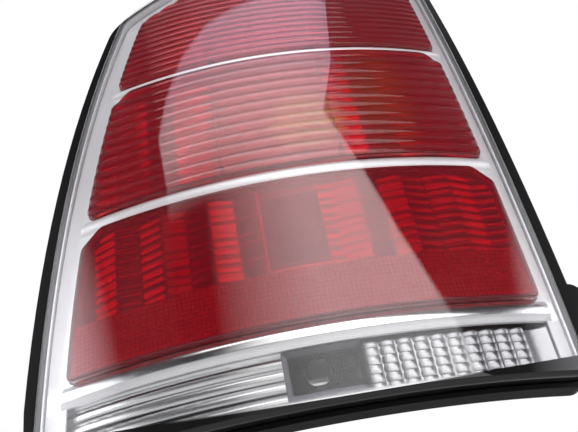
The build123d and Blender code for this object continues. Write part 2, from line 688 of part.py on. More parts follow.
def track_outlines():
    """Outline of each contact track, by its circuit."""
    jog = 2 * TRACK_WIDTH
    earth = strip_path((-TRACK_RUN, Z_REVERSE_BULB), (-TRACK_RUN, Z_STOP_BULB))
    earth += strip_path((-TRACK_RUN, Z_BLADES), (-2 * BLADE_PITCH, Z_BLADES))
    for level in (*BAYONET_LEVELS, Z_REVERSE_BULB):
        earth += strip_path((-TRACK_RUN, level), (-BULB_BASE_RADIUS + TRACK_WIDTH / 4, level))
    low_turn, high_turn = Z_BLADES - SHROUD_HEIGHT, Z_BLADES + SHROUD_HEIGHT
    return {
        "earth": earth,
        "tail": strip_path(
            (0, Z_TAIL_BULB),
            (0, low_turn),
            (-BLADE_PITCH, low_turn),
            (-BLADE_PITCH, Z_BLADES),
        ),
        "indicator": strip_path((0, Z_INDICATOR_BULB), (0, Z_BLADES)),
        "stop": strip_path(
            (0, Z_STOP_BULB),
            (TRACK_RUN, Z_STOP_BULB),
            (TRACK_RUN, high_turn),
            (BLADE_PITCH, high_turn),
            (BLADE_PITCH, Z_BLADES),
        ),
        "reverse": strip_path(
            (0, Z_REVERSE_BULB),
            (TRACK_RUN, Z_REVERSE_BULB),
            (TRACK_RUN, low_turn - jog / 2),
            (2 * BLADE_PITCH, low_turn - jog / 2),
            (2 * BLADE_PITCH, Z_BLADES),
        ),
    }


def contact_track(circuit, blade_slot):
    """Stamped contact track with its plug blade."""
    strip = prism(track_outlines()[circuit], Y_TRACK, Y_TRACK + TRACK_THICKNESS)
    blade = block(BULB_X + blade_slot * BLADE_PITCH, Z_BLADES, TRACK_WIDTH, TRACK_THICKNESS)
    return strip + prism(blade, Y_TRACK, Y_TRACK + BLADE_LENGTH)


def make_carrier_seal():
    """Foam ring between carrier and housing."""
    outline = CARRIER_OUTLINE - offset(OPENING_OUTLINE, amount=EDGE_CLEARANCE)
    front = Y_BACK + SEAT_CLEARANCE
    return prism(outline, front, front + CARRIER_SEAL)


STUD_POINTS = (MAIN_STUD, UPPER_STUD, OUTER_STUD)


def stud(x, z):
    """Steel stud with a flat head moulded into the housing."""
    head_front = Y_BACK_INNER - STUD_HEAD_THICKNESS
    head = rod(x, z, STUD_HEAD_RADIUS, head_front, Y_BACK_INNER)
    shank = rod(x, z, STUD_SHANK_RADIUS, head_front, 0)
    return head + shank + rod(x, z, STUD_RADIUS, head_front, STUD_LENGTH)


def screw(x, z):
    """Round-headed screw driven from the back into a reflector tower."""
    head = rod(x, z, SCREW_HEAD_RADIUS, Y_BACK, Y_BACK + SCREW_HEAD_HEIGHT)
    return head + rod(x, z, SCREW_RADIUS, Y_TOWER - SCREW_BITE, Y_BACK)


def vent_cap(x, z):
    """Rubber breather cap over a vent spout."""
    bore = VENT_BORE + VENT_WALL + SEAT_CLEARANCE
    top = Y_BACK + VENT_HEIGHT + SEAT_CLEARANCE
    cap = rod(x, z, bore + VENT_CAP_WALL, Y_BACK + SEAT_CLEARANCE, top + VENT_CAP_WALL)
    return cap - rod(x, z, bore, Y_BACK, top)


def back_ribs():
    """Upright plan of the stiffening ribs on the back wall, clear of what sits there."""
    field = back_edge(GASKET_INSET + GASKET_WIDTH + EDGE_CLEARANCE)
    field -= offset(CARRIER_OUTLINE, amount=2 * EDGE_CLEARANCE)
    for x, z in SCREW_POINTS:
        field -= Pos(x, z) * Circle(SCREW_HEAD_RADIUS + 2 * EDGE_CLEARANCE)
    for x, z in VENT_POINTS:
        field -= Pos(x, z) * Circle(VENT_BORE + VENT_WALL + VENT_CAP_WALL + 2 * EDGE_CLEARANCE)
    count = int((Z_CREST - Z_BOTTOM) / BACK_RIB_PITCH)
    levels = [Z_BOTTOM + (index + 0.5) * BACK_RIB_PITCH for index in range(count)]
    plan = Sketch()
    for level in levels:
        plan += field & band(level - BACK_RIB_WIDTH / 2, level + BACK_RIB_WIDTH / 2)
    return plan


def above_floor(rise):
    """Space above the underside raised by rise: flat behind the lens, then sloping up to the back."""
    profile = Polyline(
        (Y_FACE, Z_FLOOR + rise),
        (Y_FLOOR_BEND, Z_FLOOR + rise),
        (Y_BACK, Z_BACK_FOOT + rise),
        (Y_BACK, REACH_HIGH),
        (Y_FACE, REACH_HIGH),
        close=True,
    )
    return extrude(Plane.YZ * make_face(profile), LEFT_FOOT + RIGHT_EDGE, both=True)


def make_housing():
    """Black moulded housing: flanged rim with a lens channel, straight walls and a flat back."""
    lip_out = EDGE_CLEARANCE + LIP_THICKNESS
    ledge = ring(-lip_out, HOUSING_SHOULDER + HOUSING_WALL)
    body = layer(ledge, D_LEDGE, D_LEDGE + HOUSING_WALL)
    body += layer(ring(-lip_out, -EDGE_CLEARANCE), D_LIP, D_LEDGE + HOUSING_WALL / 2)
    ear_x = RIGHT_EDGE + lip_out + FLANGE_WIDTH
    ear = block(ear_x, Z_BOTTOM + EAR_LEVEL, 2 * EAR_REACH, EAR_HEIGHT, EAR_ROUND)
    flange = edge_in(-lip_out - FLANGE_WIDTH) & band(Z_BOTTOM - lip_out, REACH_HIGH)
    body += layer(flange + ear - edge_in(-EDGE_CLEARANCE), D_LIP, D_LIP + HOUSING_WALL)
    shell = prism_behind(edge_in(HOUSING_SHOULDER), D_LEDGE + HOUSING_WALL / 2, Y_BACK) & above_floor(0.0)
    inside = edge_in(HOUSING_SHOULDER + HOUSING_WALL)
    hollow = prism_behind(inside, D_LEDGE, Y_BACK_INNER) & above_floor(HOUSING_WALL)
    body += shell - hollow
    sill = edge_in(LENS_WALL + EDGE_CLEARANCE) & band(Z_BOTTOM, Z_SILL - SEAT_CLEARANCE)
    body += layer(sill, SILL_SETBACK, D_LEDGE + HOUSING_WALL / 2)
    for x, z in STUD_POINTS:
        body += rod(x, z, STUD_BOSS_RADIUS, Y_BACK_INNER - 2 * STUD_HEAD_THICKNESS, 0)
    for x, z in SCREW_POINTS:
        body += rod(x, z, TOWER_RADIUS, Y_TOWER, Y_BACK)
    for x, z in VENT_POINTS:
        body += rod(x, z, VENT_BORE + VENT_WALL, Y_BACK_INNER, Y_BACK + VENT_HEIGHT)
    body += prism(back_ribs(), Y_BACK - HOUSING_WALL / 2, Y_BACK + BACK_RIB_HEIGHT)
    body -= prism(OPENING_OUTLINE, Y_BACK_INNER - HOUSING_WALL, Y_BACK + BACK_RIB_HEIGHT + 1)
    for x, z in SCREW_POINTS:
        body -= rod(x, z, SCREW_RADIUS + SEAT_CLEARANCE, Y_TOWER - 1, 0)
    for x, z in VENT_POINTS:
        body -= rod(x, z, VENT_BORE, Y_BACK_INNER - 1, Y_BACK + VENT_HEIGHT + 1)
    for x, z in STUD_POINTS:
        body -= stud(x, z)
    return body


def make_body_gasket():
    """Foam gasket round the back of the housing."""
    plan = back_edge(GASKET_INSET) - back_edge(GASKET_INSET + GASKET_WIDTH)
    plan -= offset(CARRIER_OUTLINE, amount=EDGE_CLEARANCE)
    return prism(plan, Y_BACK, GASKET_PROUD)


TO_ORIGIN = Pos(-MAIN_STUD[0], 0, -MAIN_STUD[1])


def placed(*solids):
    """Solids of one node, moved to the origin on the main stud."""
    moved = [solid for piece in solids for solid in (TO_ORIGIN * piece).solids()]
    return moved[0] if len(moved) == 1 else Compound(moved)


def make_nodes():
    """Solids of every piece of the lamp by its node name, in the lens frame."""
    return {
        "housing": [make_housing()],
        "body_gasket": [make_body_gasket()],
        "mounting_studs": [stud(x, z) for x, z in STUD_POINTS],
        "reflector_screws": [screw(x, z) for x, z in SCREW_POINTS],
        "breather_caps": [vent_cap(x, z) for x, z in VENT_POINTS],
        "lens_seal": [make_lens_seal()],
        "outer_lens": [make_outer_lens()],
        "bezel": [make_bezel()],
        "top_red_lens": [make_top_red_lens()],
        "middle_red_lens": [make_middle_red_lens()],
        "lower_red_lens": [make_lower_red_lens()],
        "reflex_reflector": [make_reflex_reflector()],
        "reflector": [make_reflector()],
        "reverse_reflector": [make_reverse_reflector()],
        "bulb_carrier": [make_bulb_carrier()],
        "carrier_seal": [make_carrier_seal()],
        "earth_track": [contact_track("earth", -2)],
        "tail_track": [contact_track("tail", -1)],
        "indicator_track": [contact_track("indicator", 0)],
        "stop_track": [contact_track("stop", 1)],
        "reverse_track": [contact_track("reverse", 2)],
        "stop_bulb": [bayonet_bulb(Z_STOP_BULB)],
        "indicator_bulb": [bayonet_bulb(Z_INDICATOR_BULB)],
        "tail_bulb": [bayonet_bulb(Z_TAIL_BULB)],
        "reverse_bulb": [wedge_bulb()],
    }


def main():
    """Builds every piece and writes it with the main stud's root as origin."""
    os.makedirs("parts", exist_ok=True)
    for name, solids in make_nodes().items():
        export_step(placed(*solids), f"parts/{name}.step")


main()
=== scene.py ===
"""Looks of the tail light cluster: finishes, smooth optics, light and camera.

Shapes are worked out in millimetres in the lens frame: X to the right seen from behind the car, Y into the car,
Z up, and Y = 0 on the seat plane of the studs. They are written in metres from the main stud's root, and the
places that finishes name are millimetres from that root too.
"""

import logging
from dataclasses import dataclass
from enum import Enum

import bmesh
import bpy
import numpy as np
from mathutils import Matrix, Vector


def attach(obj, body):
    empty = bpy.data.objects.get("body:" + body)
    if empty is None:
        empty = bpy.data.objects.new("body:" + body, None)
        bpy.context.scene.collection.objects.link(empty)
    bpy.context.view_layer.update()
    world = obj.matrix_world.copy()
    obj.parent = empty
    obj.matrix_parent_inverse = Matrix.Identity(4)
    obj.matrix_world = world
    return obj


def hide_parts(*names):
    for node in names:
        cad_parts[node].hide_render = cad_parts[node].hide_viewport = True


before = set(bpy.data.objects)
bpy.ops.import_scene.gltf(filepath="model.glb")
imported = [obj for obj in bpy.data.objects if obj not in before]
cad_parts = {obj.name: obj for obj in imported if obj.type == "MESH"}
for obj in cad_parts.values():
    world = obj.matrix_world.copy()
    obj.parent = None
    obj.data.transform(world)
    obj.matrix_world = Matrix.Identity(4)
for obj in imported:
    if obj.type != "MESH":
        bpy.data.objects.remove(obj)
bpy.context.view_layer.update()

LOG = logging.getLogger("tail_light")
MM = 0.001
SKIN = 0.3
MERGE, SLIVER = 2e-6, 1e-6
MAIN_STUD = np.array([98.0, 0.0, 30.0])
BULB_X = 4.5
STOP_LEVEL, INDICATOR_LEVEL, TAIL_LEVEL, REVERSE_LEVEL = 173.0, 76.5, -11.5, -66.0
QUARTER = np.pi / 2
RIM = "rim"
# Lumps per metre of the wear on plastics, and of the clouds and streaks on metal.
WEAR, TARNISH, STREAKS = 38.0, 24.0, 220.0
FAINT = 0.00001
WHITE, BLACK = (1.0, 1.0, 1.0), (0.0, 0.0, 0.0)
EVEN = (1.0, 1.0, 1.0)

Pair = tuple[float, float]
Triple = Colour = tuple[float, float, float]
Tones = tuple[Colour, Colour]
Values = dict[str | int, object]
Array = np.ndarray
Objects = list[bpy.types.Object]


class Axis(Enum):
    """Object coordinate that a pattern runs along, by the name of its output."""

    X = "X"
    Y = "Y"
    Z = "Z"


class Slot(Enum):
    """Material slots of the record, passed with the new pieces but not given to them."""

    CLEAR = "clear_acrylic"
    RED = "red_acrylic"
    REFLECTOR = "metallised_reflector"
    GLASS = "bulb_glass"
    AMBER = "amber_bulb_glass"
    ZINC = "zinc_steel"


class Socket:
    """A shader value with arithmetic, so that a pattern reads as an expression."""

    def __init__(self, paint: "Paint", link: bpy.types.NodeSocket | None) -> None:
        """Keeps the paint that the value belongs to, and its output."""
        self.paint = paint
        self.link = link

    def _math(self, operation: str, *inputs: "Socket | float") -> "Socket":
        """Adds a Math node with its operation and inputs."""
        return self.paint.node("ShaderNodeMath", {"operation": operation}, dict(enumerate(inputs)))

    def __add__(self, other: "Socket | float") -> "Socket":
        """Sum."""
        return self._math("ADD", self, other)

    def __radd__(self, other: float) -> "Socket":
        """Sum with a number in front."""
        return self._math("ADD", other, self)

    def __sub__(self, other: "Socket | float") -> "Socket":
        """Difference."""
        return self._math("SUBTRACT", self, other)

    def __rsub__(self, other: float) -> "Socket":
        """Difference with a number in front."""
        return self._math("SUBTRACT", other, self)

    def __mul__(self, other: "Socket | float") -> "Socket":
        """Product."""
        return self._math("MULTIPLY", self, other)

    def __rmul__(self, other: float) -> "Socket":
        """Product with a number in front."""
        return self._math("MULTIPLY", other, self)

    def __pow__(self, other: "Socket | float") -> "Socket":
        """Power."""
        return self._math("POWER", self, other)

    def __rpow__(self, other: float) -> "Socket":
        """Power of a number."""
        return self._math("POWER", other, self)

    def __abs__(self) -> "Socket":
        """Size without its sign."""
        return self._math("ABSOLUTE", self)

    def above(self, level: float) -> "Socket":
        """1 where the value is above a level, else 0."""
        return self._math("GREATER_THAN", self, level)

    def zigzag(self, pitch: float) -> "Socket":
        """Zig-zag between 0 and 1 that comes back after each pitch."""
        return self._math("PINGPONG", self, pitch / 2) * (2 / pitch)


class Paint:
    """Node tree of one material or of the world, with one way to add any node."""

    def __init__(self, tree: bpy.types.NodeTree) -> None:
        """Empties the tree and keeps it."""
        tree.nodes.clear()
        self.tree = tree

    def node(
        self,
        kind: str,
        settings: dict[str, object] | None = None,
        values: Values | None = None,
        output: str | int | None = 0,
    ) -> Socket:
        """Adds a node.

        Args:
            kind: The node's type.
            settings: Properties that are set first; "stops" holds a ramp's (place, colour) pairs.
            values: Values or links by socket name or number.
            output: Name or number of the output to return; None for a node without outputs.

        Returns:
            The output as a value.
        """
        node = self.tree.nodes.new(kind)
        for key, value in (settings or {}).items():
            if key == "stops":
                ramp = node.color_ramp
                for index, (place, colour) in enumerate(value):
                    stop = ramp.elements[index] if index < len(ramp.elements) else ramp.elements.new(place)
                    stop.position = place
                    stop.color = (*colour, 1.0)
            else:
                setattr(node, key, value)
        for key, value in (values or {}).items():
            entry = node.inputs[key]
            if isinstance(value, Socket):
                self.tree.links.new(value.link, entry)
            elif entry.type == "RGBA" and len(value) == 3:
                entry.default_value = (*value, 1.0)
            else:
                entry.default_value = value
        return Socket(self, None if output is None else node.outputs[output])

    def place(self) -> Socket:
        """Object coordinates."""
        return self.node("ShaderNodeTexCoord", output="Object")

    def along(self, axis: Axis) -> Socket:
        """One of the object coordinates in millimetres."""
        return self.node("ShaderNodeSeparateXYZ", None, {0: self.place()}, axis.value) * (1 / MM)

    def noise(self, scale: float, detail: float = 3.0, stretch: Triple = EVEN) -> Socket:
        """Soft noise.

        Args:
            scale: Lumps per metre.
            detail: Number of finer layers.
            stretch: How much the pattern is squeezed along X, Y and Z.

        Returns:
            Noise about 0.5.
        """
        where = self.node("ShaderNodeMapping", None, {"Vector": self.place(), "Scale": stretch})
        return self.node("ShaderNodeTexNoise", None, {"Vector": where, "Scale": scale, "Detail": detail})

    def bump(self, height: Socket, depth: float) -> Socket:
        """Normal from a height in parts of depth, which is in metres."""
        return self.node("ShaderNodeBump", None, {"Height": height, "Distance": depth}, "Normal")

    def clamp(self, value: Socket) -> Socket:
        """The value held between 0 and 1."""
        return self.node("ShaderNodeClamp", None, {0: value})

    def blend(self, share: Socket, first: Socket | Colour, second: Socket | Colour) -> Socket:
        """Mixes two colours by a share."""
        return self.node("ShaderNodeMix", {"data_type": "RGBA"}, {0: share, 6: first, 7: second}, 2)

    def surface(self, values: Values) -> Socket:
        """Principled surface with these values."""
        return self.node("ShaderNodeBsdfPrincipled", None, values)

    def mixed(self, share: Socket, first: Socket, second: Socket) -> Socket:
        """Mixes two shaders by a share."""
        return self.node("ShaderNodeMixShader", None, {0: share, 1: first, 2: second})

    def output(self, shader: Socket, kind: str = "ShaderNodeOutputMaterial") -> None:
        """Links a shader to the tree's output."""
        self.node(kind, None, {"Surface": shader}, None)


def painted(name: str) -> tuple[bpy.types.Material, Paint]:
    """Makes an empty material and the paint of its nodes.

    Args:
        name: The material's name.

    Returns:
        The material and its paint.
    """
    material = bpy.data.materials.new(name)
    material.use_nodes = True
    return material, Paint(material.node_tree)


@dataclass(frozen=True)
class Finish:
    """What every finish has: a name, a Principled surface and a material made on demand."""

    name: str

    def values(self, paint: Paint) -> Values:
        """Values and links of the surface, worked out in a material's paint."""
        raise NotImplementedError

    def shader(self, paint: Paint) -> Socket:
        """Surface shader of the finish."""
        return paint.surface(self.values(paint))

    def material(self) -> bpy.types.Material:
        """Makes the material, or finds the one that is there.

        Returns:
            The material.
        """
        title = "finish_" + self.name
        made = bpy.data.materials.get(title)
        if made is None:
            made, paint = painted(title)
            paint.output(self.shader(paint))
        return made


@dataclass(frozen=True)
class Moulded(Finish):
    """Moulded plastic, rubber or foam: a fine grain with slight mottling."""

    colour: Colour
    worn: Colour
    gloss: float
    grain: float
    depth: float
    shine: float = 0.5
    mottle: float = 0.16

    def values(self, paint: Paint) -> Values:
        """Colour and roughness follow cloudy wear, and the normal follows the grain.

        Args:
            paint: The material's paint.

        Returns:
            The surface's values.
        """
        cloud = paint.noise(WEAR)
        return {
            "Specular IOR Level": self.shine,
            "Base Color": paint.blend(cloud, self.colour, self.worn),
            "Roughness": cloud * self.mottle + self.gloss,
            "Normal": paint.bump(paint.noise(self.grain, 2.0), self.depth),
        }


@dataclass(frozen=True)
class HousingPlastic(Moulded):
    """Black housing: glossy dark rim in front, paler matt walls with flow marks behind; the walls' paler tone
    is painted sheen.
    """

    matt: Tones = ((0.0238, 0.0238, 0.0252), (0.034, 0.034, 0.036))
    matt_rise: float = 0.1
    rim_end: float = -72.0
    run: float = 14.0

    def values(self, paint: Paint) -> Values:
        """Tone and roughness change along Y behind the rim; flow marks lie over the walls, whose paler tone is
        painted sheen.

        Args:
            paint: The material's paint.

        Returns:
            The surface's values.
        """
        values = super().values(paint)
        back = paint.clamp((paint.along(Axis.Y) - self.rim_end) * (1 / self.run))
        # Painted sheen: the walls behind the rim are painted paler than the rim, with flow marks in the noise.
        walls = paint.blend(paint.noise(16.0, 4.0, (1.0, 1.0, 4.0)), *self.matt)
        values["Base Color"] = paint.blend(back, values["Base Color"], walls)
        values["Roughness"] = values["Roughness"] + back * self.matt_rise
        return values


@dataclass(frozen=True)
class Metal(Finish):
    """Bare or metallised surface with faint streaks."""

    colour: Colour
    dull: Colour
    gloss: float
    streak: Triple
    depth: float = FAINT
    metallic: float = 1.0
    streak_rough: float = 0.1
    cloud_rough: float = 0.06

    def values(self, paint: Paint) -> Values:
        """Clouds vary the colour; streaks and clouds vary the roughness, and streaks barely move the normal.

        Args:
            paint: The material's paint.

        Returns:
            The surface's values.
        """
        streaks, cloud = paint.noise(STREAKS, 2.0, self.streak), paint.noise(TARNISH)
        return {
            "Base Color": paint.blend(cloud, self.colour, self.dull),
            "Metallic": self.metallic,
            "Roughness": streaks * self.streak_rough + cloud * self.cloud_rough + self.gloss,
            "Normal": paint.bump(streaks, self.depth),
        }


@dataclass(frozen=True)
class BezelMetal(Metal):
    """Satin metallised frame whose lowest strip is polished."""

    strip_level: float = -107.0
    strip_half: float = 7.0
    soft: float = 2.0
    polish: float = 0.3

    def values(self, paint: Paint) -> Values:
        """Inside the strip's band of levels, with soft edges, it is smoother and wholly metallic.

        Args:
            paint: The material's paint.

        Returns:
            The surface's values.
        """
        values = super().values(paint)
        way = paint.along(Axis.Z) - self.strip_level
        band = paint.clamp((self.strip_half**2 - way * way) * (1 / (2 * self.strip_half * self.soft)))
        values["Metallic"] = band * (1.0 - self.metallic) + self.metallic
        values["Roughness"] = values["Roughness"] - band * self.polish
        return values


@dataclass(frozen=True)
class FadingMetal(Finish):
    """Metallised strip with painted shade: its tone drops from one end to the other."""

    bright: Colour
    painted_shade: Colour
    gloss: float
    start: float
    run: float
    both_ways: bool = False
    cloud_tone: float = 0.2
    cloud_rough: float = 0.1

    def values(self, paint: Paint) -> Values:
        """The tone follows X over the run, or the distance from the start to both sides, with faint clouds; the
        drop is painted shade.

        Args:
            paint: The material's paint.

        Returns:
            The surface's values.
        """
        cloud = paint.noise(TARNISH)
        way = paint.along(Axis.X) - self.start
        if self.both_ways:
            way = abs(way)
        # Painted shade: the tone falls from bright to the painted shade tone away from the start.
        share = paint.clamp(way * (1 / self.run) + cloud * self.cloud_tone)
        return {
            "Base Color": paint.blend(share, self.bright, self.painted_shade),
            "Metallic": 1.0,
            "Roughness": cloud * self.cloud_rough + self.gloss,
            "Normal": paint.bump(paint.noise(STREAKS, 2.0), FAINT),
        }


@dataclass(frozen=True)
class ClearFilm(Finish):
    """Clear polished wall: lets light straight through and mirrors more towards grazing angles."""

    tint: Colour
    mirror: float = 0.05
    haze: float = 0.02
    gloss: Colour = (0.78, 0.78, 0.8)
    dust: Colour = (0.85, 0.85, 0.85)

    def backing(self, paint: Paint) -> Socket:
        """What lies behind the polish: the clear wall."""
        return paint.node("ShaderNodeBsdfTransparent", None, {"Color": self.tint})

    def shader(self, paint: Paint) -> Socket:
        """Mirror share rises with the fifth power towards grazing, plus a thin patchy film of dust.

        Args:
            paint: The material's paint.

        Returns:
            The shader.
        """
        facing = paint.node("ShaderNodeLayerWeight", None, {"Blend": 0.5}, "Facing")
        share = facing**5.0 * (1.0 - self.mirror) + self.mirror
        rough = paint.noise(60.0, 5.0) * 0.03 + 0.012
        gloss = paint.surface({"Base Color": self.gloss, "Metallic": 1.0, "Roughness": rough})
        film = paint.node("ShaderNodeBsdfDiffuse", None, {"Color": self.dust})
        patches = paint.noise(14.0, 6.0) ** 3.0
        return paint.mixed(patches * self.haze, paint.mixed(share, self.backing(paint), gloss), film)


@dataclass(frozen=True)
class CoverFilm(ClearFilm):
    """Clear cover with a satin skirt, and a black foot under a thin bright line; the line is a painted
    highlight and the foot's black is partly painted shade.
    """

    black_below: float = -143.6
    black_middle: float = -78.0
    black_sag: float = 0.00053
    # Place, width and tone of the line, a painted highlight.
    line_width: float = 0.6
    line_middle: float = -96.0
    line_reach: float = 78.0
    line: Colour = (0.7, 0.7, 0.72)
    # Tones of the foot: the black housing behind the lens, deepened as painted shade.
    black: Tones = ((0.002, 0.002, 0.002), (0.006, 0.006, 0.006))
    satin: Tones = ((0.97, 0.97, 0.99), (0.9, 0.9, 0.92))

    def backing(self, paint: Paint) -> Socket:
        """The piece's own attribute shows the skirt, and the level shows the foot and its line: partly painted
        shade and a painted highlight.

        The foot's edge rises with the square of the way from its middle. The line, a painted highlight, fades
        with the square of the way from its own middle.

        Args:
            paint: The material's paint.

        Returns:
            The shader behind the polish.
        """
        rim = paint.node("ShaderNodeAttribute", {"attribute_name": RIM}, None, "Fac")
        tone = paint.blend(paint.noise(30.0), *self.satin)
        satin = paint.surface({"Base Color": tone, "Metallic": 0.3, "Roughness": 0.35})
        clear = paint.mixed(rim, super().backing(paint), satin)
        # Partly painted shade: the foot is painted near black for the housing behind the lens and the shade of
        # the gap below.
        tone = paint.blend(paint.noise(40.0), *self.black)
        black = paint.surface({"Base Color": tone, "Roughness": 0.4, "Specular IOR Level": 0.05})
        # Painted highlight: a bright metallic line along the foot's edge, fading away from its middle.
        bright = paint.surface({"Base Color": self.line, "Metallic": 1.0, "Roughness": 0.3})
        across = paint.along(Axis.X) - self.black_middle
        level = paint.along(Axis.Z) - across * across * self.black_sag
        way = (paint.along(Axis.X) - self.line_middle) * (1 / self.line_reach)
        line = level.above(self.black_below) * paint.clamp(1.0 - way * way)
        edge = level.above(self.black_below + self.line_width)
        return paint.mixed(edge, paint.mixed(line, black, bright), clear)


@dataclass(frozen=True)
class AmberPatch:
    """Place where the red is painted towards amber."""

    x: float
    z: float
    reach_x: float
    reach_z: float
    strength: float
    pitch: float = 0.0
    colour: Colour = (1.0, 0.27, 0.03)

    def share(self, paint: Paint) -> Socket:
        """Fades from the middle with the square of the distance; with a pitch it comes in level streaks.

        Args:
            paint: The material's paint.

        Returns:
            Share of amber from 0 to 1.
        """
        across = (paint.along(Axis.X) - self.x) * (1 / self.reach_x)
        upward = (paint.along(Axis.Z) - self.z) * (1 / self.reach_z)
        fade = paint.clamp(1.0 - (across * across + upward * upward))
        if self.pitch:
            fade = fade * paint.along(Axis.Z).zigzag(self.pitch)
        return paint.clamp(fade * paint.noise(60.0, 2.0, (0.35, 1.0, 2.0)) * self.strength)


@dataclass(frozen=True)
class RedAcrylic(Finish):
    """Red transparent acrylic that bends light as the solid plastic does."""

    colour: Colour = (0.84, 0.035, 0.075)
    deep: Colour = (0.78, 0.03, 0.065)
    # Lighter red of the painted highlight on the flute crests.
    crest: Colour = (0.97, 0.16, 0.21)
    patches: tuple[AmberPatch, ...] = ()
    flute_foot: float = 0.0
    flute_pitch: float = 0.0
    polish: float = 0.6

    def crests(self, paint: Paint) -> Socket:
        """Thin level lines on the flute crests, a painted highlight: the fourth power of a zig-zag along Z."""
        return (paint.along(Axis.Z) - self.flute_foot).zigzag(self.flute_pitch) ** 4.0

    def values(self, paint: Paint) -> Values:
        """Nearly smooth red that drifts a little, painted towards amber in patches; flute crests are polished
        and get a painted highlight.

        Args:
            paint: The material's paint.

        Returns:
            The surface's values.
        """
        red = paint.blend(paint.noise(20.0), self.colour, self.deep)
        values = {
            "Roughness": paint.noise(70.0) * 0.05 + 0.02,
            "IOR": 1.49,
            "Transmission Weight": 0.86,
        }
        if self.flute_pitch:
            crests = self.crests(paint)
            # Painted highlight: the flute crests are painted lighter red.
            red = paint.blend(crests, red, self.crest)
            values.update({"Coat Weight": crests * self.polish, "Coat IOR": 1.9, "Coat Roughness": 0.04})
        for patch in self.patches:
            red = paint.blend(patch.share(paint), red, patch.colour)
        return {"Base Color": red, **values}


@dataclass(frozen=True)
class Reflex(Finish):
    """Reflex plate: a fine grid of red corner prisms."""

    colour: Colour
    # Brighter tone of the painted highlight on the crests.
    bright: Colour
    pitch: float
    relief: float = 0.35

    def values(self, paint: Paint) -> Values:
        """Zig-zags along X and Z make the prism grid; the crests are painted brighter as a painted highlight.

        Args:
            paint: The material's paint.

        Returns:
            The surface's values.
        """
        across, upward = (paint.along(axis).zigzag(self.pitch) for axis in (Axis.X, Axis.Z))
        crest = across * upward
        return {
            # Painted highlight: the crests are painted brighter.
            "Base Color": paint.blend(crest, self.colour, self.bright),
            "Roughness": 0.35 - crest * 0.2,
            "Coat Weight": 0.3,
            "Normal": paint.bump(across + upward, self.pitch * self.relief * MM),
        }


BLACK_PLASTIC = HousingPlastic(
    "black_plastic", (0.003, 0.003, 0.0033), (0.007, 0.007, 0.0075), 0.42, 900.0, 0.00004, 0.04
)
FOAM = Moulded("foam", (0.035, 0.035, 0.038), (0.06, 0.06, 0.062), 0.8, 700.0, 0.0006)
RUBBER = Moulded("black_rubber", (0.016, 0.016, 0.017), (0.03, 0.03, 0.031), 0.5, 1200.0, 0.0001)
CARRIER = Moulded("carrier_plastic", (0.60, 0.59, 0.55), (0.70, 0.69, 0.65), 0.34, 1000.0, 0.00004)
ZINC = Metal("zinc_steel", (0.62, 0.62, 0.58), (0.48, 0.48, 0.46), 0.24, (1.0, 4.0, 1.0), 0.00004)
BRASS = Metal("contact_brass", (0.78, 0.58, 0.26), (0.6, 0.43, 0.2), 0.2, (6.0, 1.0, 1.0), 0.00003)
CAP_NICKEL = Metal("bulb_cap", (0.70, 0.68, 0.62), (0.6, 0.58, 0.53), 0.22, (1.0, 4.0, 1.0), 0.00002)
FILAMENT = Metal("filament", (0.5, 0.5, 0.52), (0.4, 0.4, 0.42), 0.3, EVEN)
BEZEL_METAL = BezelMetal(
    "metallised_bezel", (0.98, 0.98, 1.0), (0.94, 0.94, 0.96), 0.4, (1.0, 1.0, 5.0), metallic=0.7
)
REFLECTOR_METAL = Metal(
    "metallised_reflector", (0.74, 0.74, 0.75), (0.66, 0.66, 0.67), 0.16, (1.0, 1.0, 2.0), metallic=0.85
)
BOWL_METAL = Metal(
    "reflector_bowls", (0.97, 0.97, 0.97), (0.94, 0.94, 0.94), 0.14, (2.0, 1.0, 1.0), metallic=0.65
)
# Painted shade: the reversing chamber's lining is painted dark metal.
REVERSE_SHADE_METAL = Metal("reverse_lining", (0.1, 0.1, 0.115), (0.055, 0.055, 0.062), 0.14, (1.0, 1.0, 2.0))
# Painted shade: the lower facets darken both ways from x = -93.5 mm.
FACET_METAL = FadingMetal("reflector_facets", WHITE, (0.4, 0.4, 0.41), 0.08, -93.5, 66.0, True)
# Painted shade: the reversing reflector darkens towards its right end.
REVERSE_METAL = FadingMetal("reverse_reflector", (0.92, 0.92, 0.93), (0.42, 0.42, 0.44), 0.2, -125.0, 60.0)
CLEAR_ACRYLIC = CoverFilm("clear_acrylic", (0.985, 0.985, 0.985), 0.042)
BULB_GLASS = ClearFilm("bulb_glass", (0.96, 0.97, 0.97))
AMBER_GLASS = ClearFilm("amber_bulb_glass", (1.0, 0.42, 0.02))
RED_ACRYLIC = RedAcrylic("red_acrylic")
RED_TOP = RedAcrylic("red_top_acrylic", flute_foot=101.0, flute_pitch=6.238, polish=0.3)
RED_AMBER = RedAcrylic(
    "red_amber_acrylic",
    patches=(
        AmberPatch(-74.0, 30.0, 27.0, 26.0, 3.4, 8.083, (1.0, 0.46, 0.1)),
        AmberPatch(-24.0, 48.0, 26.0, 60.0, 0.6),
    ),
    flute_foot=-2.0,
    flute_pitch=8.083,
)
REFLEX_RED = Reflex("reflex_red", (0.85, 0.3, 0.35), (1.0, 0.6, 0.6), 2.4)

